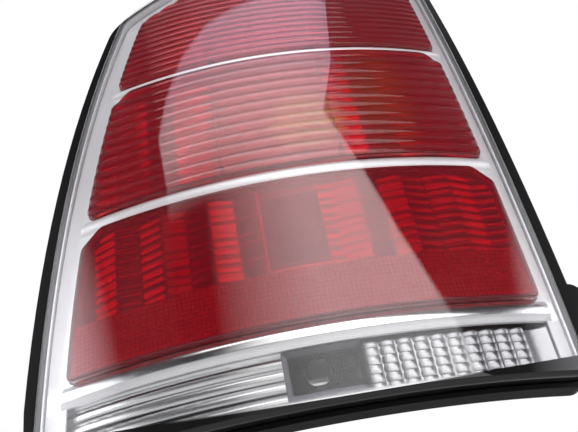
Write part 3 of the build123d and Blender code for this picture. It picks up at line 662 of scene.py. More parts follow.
NODE_FINISHES: dict[Finish, tuple[str, ...]] = {
    BLACK_PLASTIC: ("housing",),
    FOAM: ("body_gasket", "carrier_seal"),
    RUBBER: ("breather_caps", "lens_seal"),
    CARRIER: ("bulb_carrier",),
    ZINC: ("mounting_studs", "reflector_screws"),
    BRASS: ("earth_track", "tail_track", "indicator_track", "stop_track", "reverse_track"),
    BEZEL_METAL: ("bezel",),
    REFLECTOR_METAL: ("reflector",),
    REVERSE_METAL: ("reverse_reflector",),
    CLEAR_ACRYLIC: ("outer_lens",),
    RED_ACRYLIC: ("top_red_lens", "middle_red_lens", "lower_red_lens"),
    REFLEX_RED: ("reflex_reflector",),
    BULB_GLASS: ("stop_bulb", "tail_bulb", "reverse_bulb"),
    AMBER_GLASS: ("indicator_bulb",),
}


def dress_nodes() -> None:
    """Gives every CAD node its finish."""
    for finish, names in NODE_FINISHES.items():
        for name in names:
            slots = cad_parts[name].data.materials
            slots.clear()
            slots.append(finish.material())


@dataclass(frozen=True)
class LensFace:
    """Front of the lamp: an upright arc turned about an upright axis behind it."""

    depth: float = 118.0
    radius_across: float = 360.0
    radius_up: float = 1350.0

    def y(self, x: Array, z: Array, inset: Array | float) -> Array:
        """Y of the surface set back from the face.

        The upright arc of radius_up less inset gives the reach from the axis at a level. The surface lies on
        the circle of that reach about the axis.

        Args:
            x: Places across.
            z: Levels.
            inset: Depth behind the face.

        Returns:
            Y at each place.
        """
        axis = self.radius_across - self.depth
        arc = self.radius_up - self.depth - np.sqrt((self.radius_up - inset) ** 2 - z**2)
        return axis - np.sqrt((axis - arc) ** 2 - x**2)

    def lift(self, plan: Array, inset: Array | float) -> Array:
        """Points over a plan of (x, z) places at a depth behind the face."""
        x, z = plan[..., 0], plan[..., 1]
        return np.stack([x, self.y(x, z, inset), z], axis=-1)


FACE = LensFace()


@dataclass(frozen=True)
class Circle:
    """Circle in the plan of X and Z."""

    centre: Array
    radius: float

    @classmethod
    def through(cls, *points: Pair) -> "Circle":
        """Circle through three points, from the two lines of equal distance.

        Args:
            points: The three points.

        Returns:
            The circle.
        """
        p, q, r = np.array(points, float)
        centre = np.linalg.solve(2 * np.array([q - p, r - p]), [q @ q - p @ p, r @ r - p @ p])
        return cls(centre, float(np.linalg.norm(p - centre)))

    def within(self, inset: float) -> "Circle":
        """The same circle made smaller."""
        return Circle(self.centre, self.radius - inset)

    def bearing(self, point: Array) -> float:
        """Angle of a point seen from the centre, from 0 to a full turn."""
        x, z = point - self.centre
        return float(np.arctan2(z, x) % (2 * np.pi))

    def arc(self, start: float, end: float, count: int) -> Array:
        """Points of an arc, both ends left half a step free so that arcs join without doubles."""
        angle = start + (end - start) * (np.arange(count) + 0.5) / count
        return self.centre + self.radius * np.stack([np.cos(angle), np.sin(angle)], axis=-1)

    def crossing(self, other: "Circle", near: Array) -> Array:
        """Point where two circles cross.

        Both crossings lie square to the line of centres, over the place where the radii meet on it.

        Args:
            other: The other circle.
            near: Place that says which crossing is meant.

        Returns:
            The nearer crossing.
        """
        gap = other.centre - self.centre
        distance = np.linalg.norm(gap)
        run = (distance**2 + self.radius**2 - other.radius**2) / (2 * distance)
        unit = gap / distance
        rise = np.sqrt(self.radius**2 - run**2) * np.array([-unit[1], unit[0]])
        both = self.centre + unit * run + np.outer((-1, 1), rise)
        return both[np.argmin(np.linalg.norm(both - near, axis=1))]


def straight(start: Pair, end: Pair, count: int) -> Array:
    """Points of a straight run, both ends left half a step free."""
    step = (np.arange(count)[:, None] + 0.5) / count
    return np.array(start) * (1 - step) + np.array(end) * step


@dataclass(frozen=True)
class LensEdge:
    """Outline of the outer lens: bowed left side, crowned top, upright right side and flat foot."""

    foot: float = -116.0
    right: float = 138.0
    left_foot: float = -148.5
    shoulder: Pair = (-90.0, 206.0)
    crest: float = 262.0
    left_bulge: float = 10.0
    top_bulge: float = 20.0
    foot_corner: float = 9.0
    shoulder_corner: float = 18.0
    top_corner: float = 22.0

    def side(self) -> Circle:
        """Circle of the left side."""
        middle = ((self.shoulder[0] + self.left_foot) / 2 - self.left_bulge, (self.shoulder[1] + self.foot) / 2)
        return Circle.through(self.shoulder, middle, (self.left_foot, self.foot))

    def crown(self) -> Circle:
        """Circle of the top."""
        middle = ((self.right + self.shoulder[0]) / 2, (self.shoulder[1] + self.crest) / 2 + self.top_bulge)
        return Circle.through((self.right, self.crest), middle, self.shoulder)

    def left(self, z: Array | float, inset: float) -> Array | float:
        """X of the left side at given levels, moved in by inset."""
        side = self.side()
        return side.centre[0] - np.sqrt((side.radius - inset) ** 2 - (z - side.centre[1]) ** 2)

    def top(self, x: Array | float, inset: float) -> Array | float:
        """Z of the crown at given places across, moved in by inset."""
        crown = self.crown()
        return crown.centre[1] + np.sqrt((crown.radius - inset) ** 2 - (x - crown.centre[0]) ** 2)

    def loop(self, inset: float, corner: int = 24, span: int = 90) -> Array:
        """Closed outline moved in by inset, anticlockwise.

        A corner's arc keeps its centre while its radius shrinks by the inset, and the sides move in with it, so
        every inset gives the same number of points in the same order.

        Args:
            inset: Distance inwards, less than the smallest corner.
            corner: Points along each corner.
            span: Points along each side.

        Returns:
            Points (x, z).
        """
        side, crown = self.side(), self.crown()
        low, right = self.foot + self.foot_corner, self.right - self.top_corner
        foot_right = Circle(np.array([self.right - self.foot_corner, low]), self.foot_corner - inset)
        foot_left = Circle(np.array([self.left(low, self.foot_corner), low]), self.foot_corner - inset)
        top_right = Circle(np.array([right, self.top(right, self.top_corner)]), self.top_corner - inset)
        bend = side.within(self.shoulder_corner).crossing(
            crown.within(self.shoulder_corner), np.array(self.shoulder)
        )
        shoulder = Circle(bend, self.shoulder_corner - inset)
        a_top, a_crown = crown.bearing(top_right.centre), crown.bearing(bend)
        a_side, a_foot = side.bearing(bend), side.bearing(foot_left.centre)
        foot, edge = self.foot + inset, self.right - inset
        parts = [
            straight((foot_left.centre[0], foot), (foot_right.centre[0], foot), span),
            foot_right.arc(-QUARTER, 0.0, corner),
            straight((edge, low), (edge, top_right.centre[1]), span),
            top_right.arc(0.0, a_top, corner),
            crown.within(inset).arc(a_top, a_crown, span),
            shoulder.arc(a_crown, a_side, corner),
            side.within(inset).arc(a_side, a_foot, span),
            foot_left.arc(a_foot, 3 * QUARTER, corner),
        ]
        return np.concatenate(parts)


EDGE = LensEdge()


def unit(rows: Array) -> Array:
    """Each row made one long."""
    return rows / np.linalg.norm(rows, axis=1, keepdims=True)


def rounded(corners: Array, radii: Array, steps: int) -> Array:
    """Closed polygon with rounded corners.

    Each corner becomes the arc that touches both its sides: its directions are blended evenly by angle between
    the two touching points.

    Args:
        corners: Corner points, anticlockwise.
        radii: Radius at each corner.
        steps: Points along each arc.

    Returns:
        Points of the outline.
    """
    before = unit(corners - np.roll(corners, 1, axis=0))
    after = unit(np.roll(corners, -1, axis=0) - corners)
    turn = np.arccos(np.clip(np.sum(before * after, axis=1), -1, 1))
    inward = np.stack([-before[:, 1], before[:, 0]], axis=1)
    start = corners - before * (radii * np.tan(turn / 2))[:, None]
    centre = start + inward * radii[:, None]
    base = np.arctan2(-inward[:, 1], -inward[:, 0])
    angle = base[:, None] + turn[:, None] * np.linspace(0, 1, steps)
    ring = np.stack([np.cos(angle), np.sin(angle)], axis=-1) * radii[:, None, None]
    return (centre[:, None, :] + ring).reshape(-1, 2)


def outward(loop: Array) -> Array:
    """Outward unit normals of a closed anticlockwise loop, square to the chord over each point's neighbours."""
    chord = np.roll(loop, -1, axis=0) - np.roll(loop, 1, axis=0)
    return unit(np.stack([chord[:, 1], -chord[:, 0]], axis=1))


def shrunk(loop: Array, inset: float) -> Array:
    """The loop with every point moved in by inset."""
    return loop - outward(loop) * inset


def ends(loop: Array, z: Array) -> tuple[Array, Array]:
    """Where level lines meet the two sides of an anticlockwise loop.

    Args:
        loop: Points (x, z).
        z: Levels.

    Returns:
        X on the left side and on the right side at each level.
    """
    loop = np.roll(loop, -int(np.argmin(loop[:, 1])), axis=0)
    top = int(np.argmax(loop[:, 1]))
    left, right = np.concatenate([loop[top:], loop[:1]])[::-1], loop[: top + 1]
    return np.interp(z, left[:, 1], left[:, 0]), np.interp(z, right[:, 1], right[:, 0])


def between(left: Array, right: Array, z: Array, columns: int) -> Array:
    """Level rows of (x, z) places that run in even steps from left to right.

    Args:
        left: X of the left end at each level.
        right: X of the right end at each level.
        z: Levels.
        columns: Places in a row.

    Returns:
        Grid of places.
    """
    share = np.linspace(0, 1, columns)
    x = left[:, None] * (1 - share) + right[:, None] * share
    return np.stack([x, np.broadcast_to(z[:, None], x.shape)], axis=-1)


def border(grid: Array) -> Array:
    """Outer entries of a grid in order: first row, last column, last row and first column."""
    return np.concatenate([grid[0], grid[1:, -1], grid[-1, -2::-1], grid[-2:0:-1, 0]])


def around(count: int) -> Array:
    """Even angles over a full turn."""
    return np.linspace(0, 2 * np.pi, count, endpoint=False)


def eased(share: Array) -> Array:
    """Soft start and stop between 0 and 1: three times the square less twice the cube."""
    return share * share * (3 - 2 * share)


def superellipse(turn: Array, power: Array) -> Array:
    """Reach of a superellipse of half size 1 in each direction; power 2 is a circle, a high one a square."""
    return (np.abs(np.cos(turn)) ** power + np.abs(np.sin(turn)) ** power) ** (-1 / power)


def rings(x: float, y: Array, z: float, wide: Array, high: Array, turn: Array) -> Array:
    """Rings about a line along Y: wide times the cosine across and high times the sine upwards."""
    return np.stack([x + wide * np.cos(turn), y + 0 * turn, z + high * np.sin(turn)], axis=-1)


def turned(profile: list[Pair] | Array, x: float, z: float, count: int = 48) -> Array:
    """Turns a profile of (radius, y) points about the line along Y through a place."""
    r, y = np.array(profile).T[..., None]
    return rings(x, y, z, r, r, around(count))


def tube(path: Array, radius: float, count: int) -> Array:
    """Tube along a path: a circle in the plane square to the path at each point, closed at both ends.

    Args:
        path: Points of the path.
        radius: Radius of the tube.
        count: Points round it.

    Returns:
        Grid of points, to be wrapped.
    """
    along = unit(np.gradient(path, axis=0))
    side = unit(np.cross(along, [0.123, 0.456, 0.881]))  # any line that no path follows
    other = np.cross(along, side)
    turn = around(count)[None, :, None]
    ring = side[:, None, :] * np.cos(turn) + other[:, None, :] * np.sin(turn)
    rows = path[:, None, :] + radius * ring
    first, last = (path[at, None, None, :] + 0 * ring[:1] for at in (0, -1))
    return np.concatenate([first, rows, last])


class Piece:
    """One mesh object put together from grids of points in the lens frame."""

    def __init__(self, name: str) -> None:
        """Starts an empty piece.

        Args:
            name: The object's name.
        """
        self.name = name
        self.points: list[Array] = []
        self.quads: list[Array] = []
        self.marks: list[Array] = []
        self.count = 0

    def grid(self, points: Array, wrap: bool = False, mark: Array | float = 0.0) -> Array:
        """Adds a grid of points with a quad between each four neighbours.

        Args:
            points: Array of rows by columns by 3.
            wrap: Whether the last column joins the first.
            mark: Value of the rim attribute for each row.

        Returns:
            The numbers of the points, as rows by columns.
        """
        rows, columns = points.shape[:2]
        index = self.count + np.arange(rows * columns).reshape(rows, columns)
        self.points.append(points.reshape(-1, 3))
        self.marks.append(np.broadcast_to(mark, (rows, columns)).ravel())
        self.count += rows * columns
        self.join(index, wrap)
        return index

    def join(self, index: Array, wrap: bool = False) -> None:
        """Adds the quads of a grid of point numbers.

        Args:
            index: Point numbers, as rows by columns.
            wrap: Whether the last column joins the first.
        """
        right = np.roll(index, -1, axis=1) if wrap else index[:, 1:]
        left = index if wrap else index[:, :-1]
        quads = np.stack([left[:-1], right[:-1], right[1:], left[1:]], axis=-1)
        self.quads.append(quads.reshape(-1, 4))

    def mesh(self, sheet: bool) -> bpy.types.Mesh:
        """Makes the mesh, closes its seams and turns its faces outwards, or a sheet's to the front.

        Args:
            sheet: Whether it is a thin skin.

        Returns:
            The mesh.
        """
        mesh = bpy.data.meshes.new(self.name)
        places = (np.concatenate(self.points) - MAIN_STUD) * MM
        mesh.from_pydata(places, [], np.concatenate(self.quads).tolist())
        marks = np.concatenate(self.marks)
        if marks.any():
            mesh.attributes.new(RIM, "FLOAT", "POINT").data.foreach_set("value", marks)
        shape = bmesh.new()
        shape.from_mesh(mesh)
        bmesh.ops.remove_doubles(shape, verts=shape.verts, dist=MERGE)
        bmesh.ops.dissolve_degenerate(shape, edges=shape.edges, dist=SLIVER)
        if not sheet:
            bmesh.ops.recalc_face_normals(shape, faces=shape.faces)
        elif sum(face.normal.y * face.calc_area() for face in shape.faces) > 0:
            bmesh.ops.reverse_faces(shape, faces=shape.faces)
        shape.to_mesh(mesh)
        shape.free()
        return mesh

    def build(
        self,
        slot: Slot,
        finish: Finish,
        replaced: tuple[str, ...] = (),
        sharp: float = 40.0,
        sheet: bool = False,
    ) -> bpy.types.Object:
        """Makes the object and dresses it.

        Args:
            slot: The record's material slot; not used.
            finish: The finish of the whole piece.
            replaced: CAD nodes that the piece stands for.
            sharp: Angle in degrees above which an edge stays sharp.
            sheet: Whether it is a thin skin that looks out through the lens and gets its thickness behind.

        Returns:
            The object, riding on the lamp's body.
        """
        mesh = self.mesh(sheet)
        mesh.polygons.foreach_set("use_smooth", np.ones(len(mesh.polygons), bool))
        mesh.set_sharp_from_angle(angle=np.radians(sharp))
        mesh.materials.append(finish.material())
        piece = bpy.data.objects.new(self.name, mesh)
        bpy.context.scene.collection.objects.link(piece)
        if sheet:
            skin = piece.modifiers.new("skin", "SOLIDIFY")
            skin.thickness = SKIN * MM
            skin.offset = -1.0
        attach(piece, "root")
        if replaced:
            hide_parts(*replaced)
        return piece


class Assembly:
    """A sub-assembly of the lamp that builds its own pieces."""

    def build(self) -> Objects:
        """Builds and dresses the pieces."""
        raise NotImplementedError


@dataclass(frozen=True)
class OuterLens(Assembly):
    """Clear cover over the whole lamp, with a rounded rim and a skirt."""

    wall: float = 3.0
    skirt: float = 16.0
    rim: float = 2.6
    inner_rim: float = 1.2
    satin: float = 0.55
    middle: Pair = (0.0, 70.0)
    crowding: float = 1.3
    face_rows: int = 40
    bend_rows: int = 9
    wall_rows: int = 5

    def rows(self) -> list[Triple]:
        """Section from the middle of the front over the rim to the middle of the inside.

        Returns:
            Inset, share of the way to the middle, and depth for each row.
        """
        bend = np.linspace(0, QUARTER, self.bend_rows)[1:]
        shrink = np.linspace(1, 0, self.face_rows) ** self.crowding
        wall, r = self.wall, self.inner_rim
        front = [(self.rim, s, 0.0) for s in shrink]
        edge = [(self.rim * (1 - np.sin(a)), 0.0, self.rim * (1 - np.cos(a))) for a in bend]
        skirt = [(0.0, 0.0, d) for d in np.linspace(self.rim, self.skirt, self.wall_rows)[1:]]
        foot = [(wall, 0.0, d) for d in np.linspace(self.skirt, wall + r, self.wall_rows)]
        corner = [(wall + r * (1 - np.cos(a)), 0.0, wall + r * (1 - np.sin(a))) for a in bend]
        inside = [(wall + r, s, wall) for s in shrink[::-1][1:]]
        return front + edge + skirt + foot + corner + inside

    def build(self) -> Objects:
        """Carries the section round the lens edge; rows on the faces shrink the edge towards the middle.

        Returns:
            The cover, with its skirt marked.
        """
        rows = self.rows()
        plans = [(EDGE.loop(inset) - self.middle) * (1 - s) + self.middle for inset, s, _ in rows]
        shares, depths = np.array(rows).T[1:, :, None]
        skirt = np.where((shares == 0.0) & (depths > self.rim + 0.01), self.satin, 0.0)
        piece = Piece("clear_lens")
        piece.grid(FACE.lift(np.array(plans), depths), wrap=True, mark=skirt)
        return [piece.build(Slot.CLEAR, CLEAR_ACRYLIC, ("outer_lens",), 60.0)]


@dataclass(frozen=True)
class RedTier(Assembly):
    """Red inner lens: a tray with a rounded front edge, a wall and a flange behind the bezel."""

    node: str
    low: float
    high: float
    flute: float = 0.0
    rise: float = 0.0
    crowned: bool = False
    finish: Finish = RED_ACRYLIC
    margin: float = 11.0
    left_extra: float = 5.0
    cut: float = 11.0
    cut_corner: float = 5.0
    cut_clear: float = 4.0
    crown_corners: Pair = (11.0, 7.0)
    foot_corner: float = 4.0
    foot_clear: float = 5.0
    no_corner: float = 0.01
    front: float = 4.4
    wall: float = 2.6
    flange_front: float = 11.3
    flange_back: float = 13.3
    flange_width: float = 1.8
    edge: float = 1.3
    end_gap: float = 0.02
    columns: int = 120
    per_flute: int = 12
    plain_bands: int = 8
    crown_points: int = 24
    side_points: int = 14
    corner_points: int = 8
    edge_rows: int = 6

    def left(self, z: Array | float) -> Array | float:
        """X of the tray's left side at given levels."""
        return EDGE.left(z, self.margin) + self.left_extra

    def outline(self) -> Array:
        """Front outline: cut-off upper corners, or the crown of the lens on the top tier.

        Returns:
            Points (x, z), anticlockwise from the lower left.
        """
        right, low, high = EDGE.right - self.margin, self.low, self.high
        if self.crowned:
            x = np.linspace(right, self.left(EDGE.shoulder[1]), self.crown_points)
            crown = np.minimum(EDGE.top(x, self.margin), EDGE.top(x - self.left_extra, self.margin))
            head = np.stack([x, crown], axis=1)
            head_radii = np.full(len(x), self.no_corner)
            head_radii[[0, -1]] = self.crown_corners
            high = limit = crown[-1]
        else:
            z, cut = high - self.cut, self.cut
            head = np.array([[right, z], [right - cut, high], [self.left(high) + cut, high], [self.left(z), z]])
            head_radii = np.full(len(head), self.cut_corner)
            limit = z - self.cut_clear
        side_z = np.linspace(high, low, self.side_points)[1:-1]
        side_z = side_z[(side_z < limit) & (side_z > low + self.foot_clear)]
        side = np.stack([self.left(side_z), side_z], axis=1)
        feet = np.array([[self.left(low), low], [right, low]])
        corners = np.concatenate([feet, head, side])
        foot_radii, side_radii = np.full(2, self.foot_corner), np.full(len(side), self.no_corner)
        return rounded(corners, np.concatenate([foot_radii, head_radii, side_radii]), self.corner_points)

    def bands(self) -> int:
        """Number of flutes over the height, or of plain bands on a smooth tier."""
        return round((self.high - self.low) / self.flute) if self.flute else self.plain_bands

    def plan(self, inset: float) -> Array:
        """Grid of (x, z) that fills the outline moved in by inset: level rows between its two sides.

        Args:
            inset: Distance inwards.

        Returns:
            Rows from the foot up, from left to right.
        """
        loop = shrunk(self.outline(), inset)
        z = np.linspace(loop[:, 1].min(), loop[:, 1].max(), self.bands() * self.per_flute + 1)
        z[[0, -1]] += (self.end_gap, -self.end_gap)
        return between(*ends(loop, z), z, self.columns)

    def depth(self, z: Array) -> Array:
        """Depth of the front at a level: each flute is a parabola from its valleys to its crest.

        Args:
            z: Levels.

        Returns:
            Depth behind the lens face.
        """
        if not self.flute:
            return np.full_like(z, self.front)
        phase = ((z - self.low) / (self.high - self.low) * self.bands()) % 1.0
        return self.front + self.rise * (2 * phase - 1) ** 2

    def build(self) -> Objects:
        """Joins the fluted front, the rounded edge, the wall, the flange and the smooth inside.

        Returns:
            The tray.
        """
        piece = Piece(self.node + "_tray")
        plan, inner = self.plan(self.edge), self.plan(self.wall)
        front = piece.grid(FACE.lift(plan, self.depth(plan[..., 1])))
        back = piece.grid(FACE.lift(inner, self.front + self.wall)[:, ::-1])[:, ::-1]
        loop = border(plan)
        push = outward(loop)
        start = self.depth(loop[:, 1])
        bend = np.linspace(0, QUARTER, self.edge_rows)[1:]
        rows = [(self.edge * np.sin(a), start + self.edge * (1 - np.cos(a))) for a in bend]
        rows += [(self.edge, self.flange_front)]
        rows += [(self.edge + self.flange_width, depth) for depth in (self.flange_front, self.flange_back)]
        rows += [(self.edge - self.wall, self.flange_back)]
        index = piece.grid(np.array([FACE.lift(loop + push * out, depth) for out, depth in rows]), wrap=True)
        piece.join(np.array([border(front), index[0]]), wrap=True)
        piece.join(np.array([index[-1], border(back)]), wrap=True)
        return [piece.build(Slot.RED, self.finish, (self.node,))]


@dataclass(frozen=True)
class ReflectorFacets(Assembly):
    """Fluted bright skin of the reflector beside a bulb chamber."""

    name: str
    tier: RedTier
    low: float
    high: float
    pitch: float
    rise: float
    column: float
    tilt: float = 1.1
    depth: float = 11.4
    chamber: Pair = (-33.0, 42.0)
    finish: Finish = REFLECTOR_METAL
    inset: float = 3.4
    columns: int = 120
    per_flute: int = 8

    def patch(self, left: Array, right: Array, z: Array) -> Array:
        """Points of one side: level round flutes, with each column of facets tilted the other way.

        The depth adds a parabola across each flute to a zig-zag along X whose period is two columns.

        Args:
            left: X of the left end at each level.
            right: X of the right end at each level.
            z: Levels.

        Returns:
            Grid of points.
        """
        plan = between(left, right, z, self.columns)
        flute = (2 * (((plan[..., 1] - self.low) / self.pitch) % 1.0) - 1) ** 2
        zigzag = np.abs(((plan[..., 0] / self.column) % 2.0) - 1.0)
        return FACE.lift(plan, self.depth + self.rise * flute + self.tilt * zigzag)

    def build(self) -> Objects:
        """Makes the left and right patches inside the tray of the red lens.

        Returns:
            The skin.
        """
        count = int((self.high - self.low) / self.pitch) * self.per_flute
        z = np.linspace(self.low, self.high, count + 1)
        left, right = ends(shrunk(self.tier.outline(), self.inset), z)
        piece = Piece(self.name)
        piece.grid(self.patch(left, np.full_like(z, self.chamber[0]), z))
        piece.grid(self.patch(np.full_like(z, self.chamber[1]), right, z))
        return [piece.build(Slot.REFLECTOR, self.finish, sharp=30.0, sheet=True)]


@dataclass(frozen=True)
class ReflectorBowl(Assembly):
    """Bright bowl of one bulb chamber, square at its mouth and round at the bulb."""

    name: str
    level: float
    half_height: float
    half_width: float = 38.6
    clear: float = 0.8
    slack: float = 1.2
    mouth: float = 12.9
    back: float = -36.6
    hole: float = 15.0
    lobes: int = 14
    ripple: float = 1.1
    mouth_power: float = 9.0
    hole_power: float = 2.0
    rounding: float = 1.5
    narrowing: float = 0.75
    rows: int = 40
    columns: int = 240

    def build(self) -> Objects:
        """Carries a superellipse with faint lobes from mouth to bulb, where its exponent falls to a circle's.

        Returns:
            The bowl.
        """
        turn, t = around(self.columns), np.linspace(0, 1, self.rows)[:, None]
        power = self.hole_power + (self.mouth_power - self.hole_power) * (1 - t) ** self.rounding
        radius = superellipse(turn, power)
        shrink = (1 - t) ** self.narrowing
        lobes = self.ripple * np.cos(self.lobes * turn) * np.sin(np.pi * t)
        wide, high = (
            self.hole + (half - self.clear - self.hole) * shrink - self.slack + lobes
            for half in (self.half_width, self.half_height)
        )
        x, z = BULB_X + wide * radius * np.cos(turn), self.level + high * radius * np.sin(turn)
        y = FACE.y(x, z, self.mouth) * (1 - t) + self.back * t
        piece = Piece(self.name)
        piece.grid(np.stack([x, y, z], axis=-1), wrap=True)
        return [piece.build(Slot.REFLECTOR, BOWL_METAL, sharp=30.0, sheet=True)]


@dataclass(frozen=True)
class ReverseBowl(Assembly):
    """Lining of the reversing lamp's chamber, painted dark as painted shade, with a rolled lip over its square
    mouth.
    """

    mouth_level: float = -95.4
    half_width: float = 17.5
    half_height: float = 9.6
    lip: float = 2.9
    bevel: float = 0.4
    seat: float = 13.8
    front: float = 12.2
    bend: float = -93.0
    back: float = -26.8
    throat_width: float = 15.2
    throat_height: float = 9.4
    hole: float = 8.9
    square: float = 40.0

    def build(self) -> Objects:
        """Carries a square-cornered ring back: a bevelled lip, a straight run, a slope up and a round hole.

        The ring is a superellipse. The lip follows the lens face, the rest lies on planes across Y.

        Returns:
            The lining.
        """
        turn = around(200)
        run = np.linspace(self.bend, self.back, 12)[:, None]
        slope = (run - self.bend) / (self.back - self.bend)
        flare = np.array([[self.lip], [self.lip], [0.0]])
        depth = np.array([[self.seat], [self.front], [self.front + self.lip * self.bevel]])
        wide = self.half_width + np.concatenate([flare, (self.throat_width - self.half_width) * slope])
        high = self.half_height + np.concatenate([flare, (self.throat_height - self.half_height) * slope])
        level = np.concatenate([0 * flare, slope]) * (REVERSE_LEVEL - self.mouth_level) + self.mouth_level
        wide, high = (np.concatenate([rows, [[self.hole]]]) for rows in (wide, high))
        level = np.concatenate([level, level[-1:]])
        power = np.where(np.arange(len(level)) < len(level) - 1, self.square, 2.0)[:, None]
        radius = superellipse(turn, power)
        x, z = BULB_X + wide * radius * np.cos(turn), level + high * radius * np.sin(turn)
        lip = FACE.y(x[:3], z[:3], depth)
        y = np.concatenate([lip, np.concatenate([run, run[-1:]]) + 0 * turn])
        piece = Piece("reverse_bowl")
        piece.grid(np.stack([x, y, z], axis=-1), wrap=True)
        return [piece.build(Slot.REFLECTOR, REVERSE_SHADE_METAL, sheet=True)]


@dataclass(frozen=True)
class ReverseCove(Assembly):
    """Smooth hollow wall at the right end of the reversing tier."""

    left: float = 112.4
    right: float = 126.6
    low: float = -109.4
    high: float = -83.4
    deep: float = 15.0
    shallow: float = 11.2

    def build(self) -> Objects:
        """The depth falls with the square of the way across, so the wall starts flat and ends steep.

        Returns:
            The wall.
        """
        share = np.linspace(0, 1, 24)
        x, z = np.meshgrid(self.left + (self.right - self.left) * share, np.linspace(self.low, self.high, 12))
        depth = self.deep + (self.shallow - self.deep) * share**2
        piece = Piece("reverse_cove")
        piece.grid(FACE.lift(np.stack([x, z], axis=-1), depth))
        return [piece.build(Slot.REFLECTOR, REVERSE_METAL, sheet=True)]


@dataclass(frozen=True)
class BayonetBulb(Assembly):
    """Round bulb: thin glass, a rolled metal cap with its two pins, and a coiled filament on posts."""

    node: str
    level: float
    slot: Slot = Slot.GLASS
    glass: Finish = BULB_GLASS
    foot: float = -0.4
    cap: float = 17.0
    tip: float = -50.4
    radius: float = 13.1
    cap_radius: float = 7.45
    fit: float = 0.2
    pin: float = 8.6
    pin_radius: float = 1.0
    coil_half: float = 4.0
    coil_radius: float = 0.7
    coil_turns: int = 12
    coil_lift: float = 4.0
    wire: float = 0.16
    post: float = 0.35
    post_foot: float = 2.2

    def glass_profile(self) -> Array:
        """Glass from the cap, closed there: a neck that swells to the ball and closes at the tip.

        Returns:
            Radius and Y along the profile.
        """
        start, centre = self.foot - self.cap, self.tip + self.radius
        swell = np.linspace(0, 1, 14)
        neck_r = self.cap_radius - self.fit + (self.radius - self.cap_radius + self.fit) * eased(swell)
        neck_y = start + (centre - start) * swell
        bend = np.linspace(0, QUARTER, 16)[1:]
        ball = np.stack([self.radius * np.cos(bend), centre - self.radius * np.sin(bend)], axis=1)
        return np.concatenate([[[0.0, start]], np.stack([neck_r, neck_y], axis=1), ball])

    def cap_profile(self) -> list[Pair]:
        """Cap from its raised contact over the wall to the rolled bead that holds the glass.

        Returns:
            Radius and Y along the profile.
        """
        r, foot, top = self.cap_radius, self.foot, self.foot - self.cap
        contact = [(0.0, foot), (r * 0.5, foot), (r * 0.55, foot - 1.2), (r - 0.8, foot - 1.4)]
        wall = [(r, foot - 2.2), (r, top + 1.4), (r - 0.35, top + 0.9), (r, top + 0.4), (r - 0.1, top - 0.6)]
        return contact + wall + [(r - 1.2, top - 0.7), (0.0, top - 0.7)]

    def pins(self) -> Array:
        """Both pins as one rounded rod along X through the cap.

        Returns:
            Grid of points, to be wrapped.
        """
        half, r = self.pin, self.pin_radius
        rod = [(0.0, half), (r - 0.2, half), (r, half - 0.3), (r, 0.3 - half), (r - 0.2, -half), (0.0, -half)]
        points = turned(rod, 0.0, 0.0, 16)[..., [1, 0, 2]]
        return points + (BULB_X, self.foot - self.cap / 2, self.level)

    def filament(self) -> list[Array]:
        """Coil across two posts: a tube carried along a helix about X, and two tubes that lean apart.

        Returns:
            Grids of points, to be wrapped.
        """
        place = self.tip + self.radius + self.coil_lift
        share = np.linspace(0, 1, 241)
        turn = 2 * np.pi * self.coil_turns * share
        x = BULB_X - self.coil_half + 2 * self.coil_half * share
        y, z = place + self.coil_radius * np.cos(turn), self.level + self.coil_radius * np.sin(turn)
        grids = [tube(np.stack([x, y, z], axis=-1), self.wire, 6)]
        share = np.linspace(0, 1, 12)
        y = np.linspace(self.foot - self.cap - 0.6, place, 12)
        lean = self.post_foot + (self.coil_half - self.post_foot) * share**2
        for side in (-1, 1):
            post = np.stack([BULB_X + side * lean, y, np.full(12, self.level)], axis=-1)
            grids.append(tube(post, self.post, 8))
        return grids

    def build(self) -> Objects:
        """Makes glass, cap and filament.

        Returns:
            The three pieces.
        """
        glass, cap, wire = (Piece(self.node + part) for part in ("_glass", "_cap", "_filament"))
        glass.grid(turned(self.glass_profile(), BULB_X, self.level), wrap=True)
        cap.grid(turned(self.cap_profile(), BULB_X, self.level), wrap=True)
        cap.grid(self.pins(), wrap=True)
        for points in self.filament():
            wire.grid(points, wrap=True)
        return [
            glass.build(self.slot, self.glass, (self.node,)),
            cap.build(Slot.ZINC, CAP_NICKEL),
            wire.build(Slot.ZINC, FILAMENT),
        ]


@dataclass(frozen=True)
class WedgeBulb(Assembly):
    """Capless reversing bulb: a glass tube on a flat pinched base."""

    node: str = "reverse_bulb"
    foot: float = -0.4
    base: float = 12.0
    base_wide: float = 6.4
    base_thin: float = 2.4
    shoulder: float = 4.0
    tip: float = -37.4
    radius: float = 7.5

    def build(self) -> Objects:
        """Carries an ellipse along Y: flat and wide at the base, round at the glass, closed at both ends.

        Returns:
            The glass.
        """
        start, centre = self.foot - self.base, self.tip + self.radius
        ease = np.linspace(0, 1, 10)[:, None]
        bend = np.linspace(0, QUARTER, 12)[1:, None]
        swell = start * (1 - ease) + (start - self.shoulder) * ease
        dome = centre - self.radius * np.sin(bend)
        y = np.concatenate([[[self.foot], [self.foot]], swell, [[centre]], dome])
        wide, thin = (
            np.concatenate(
                [
                    [[0.0], [half]],
                    half + (self.radius - half) * eased(ease),
                    [[self.radius]],
                    self.radius * np.cos(bend),
                ]
            )
            for half in (self.base_wide, self.base_thin)
        )
        piece = Piece(self.node + "_glass")
        piece.grid(rings(BULB_X, y, REVERSE_LEVEL, wide, thin, around(64)), wrap=True)
        return [piece.build(Slot.GLASS, BULB_GLASS, (self.node,))]


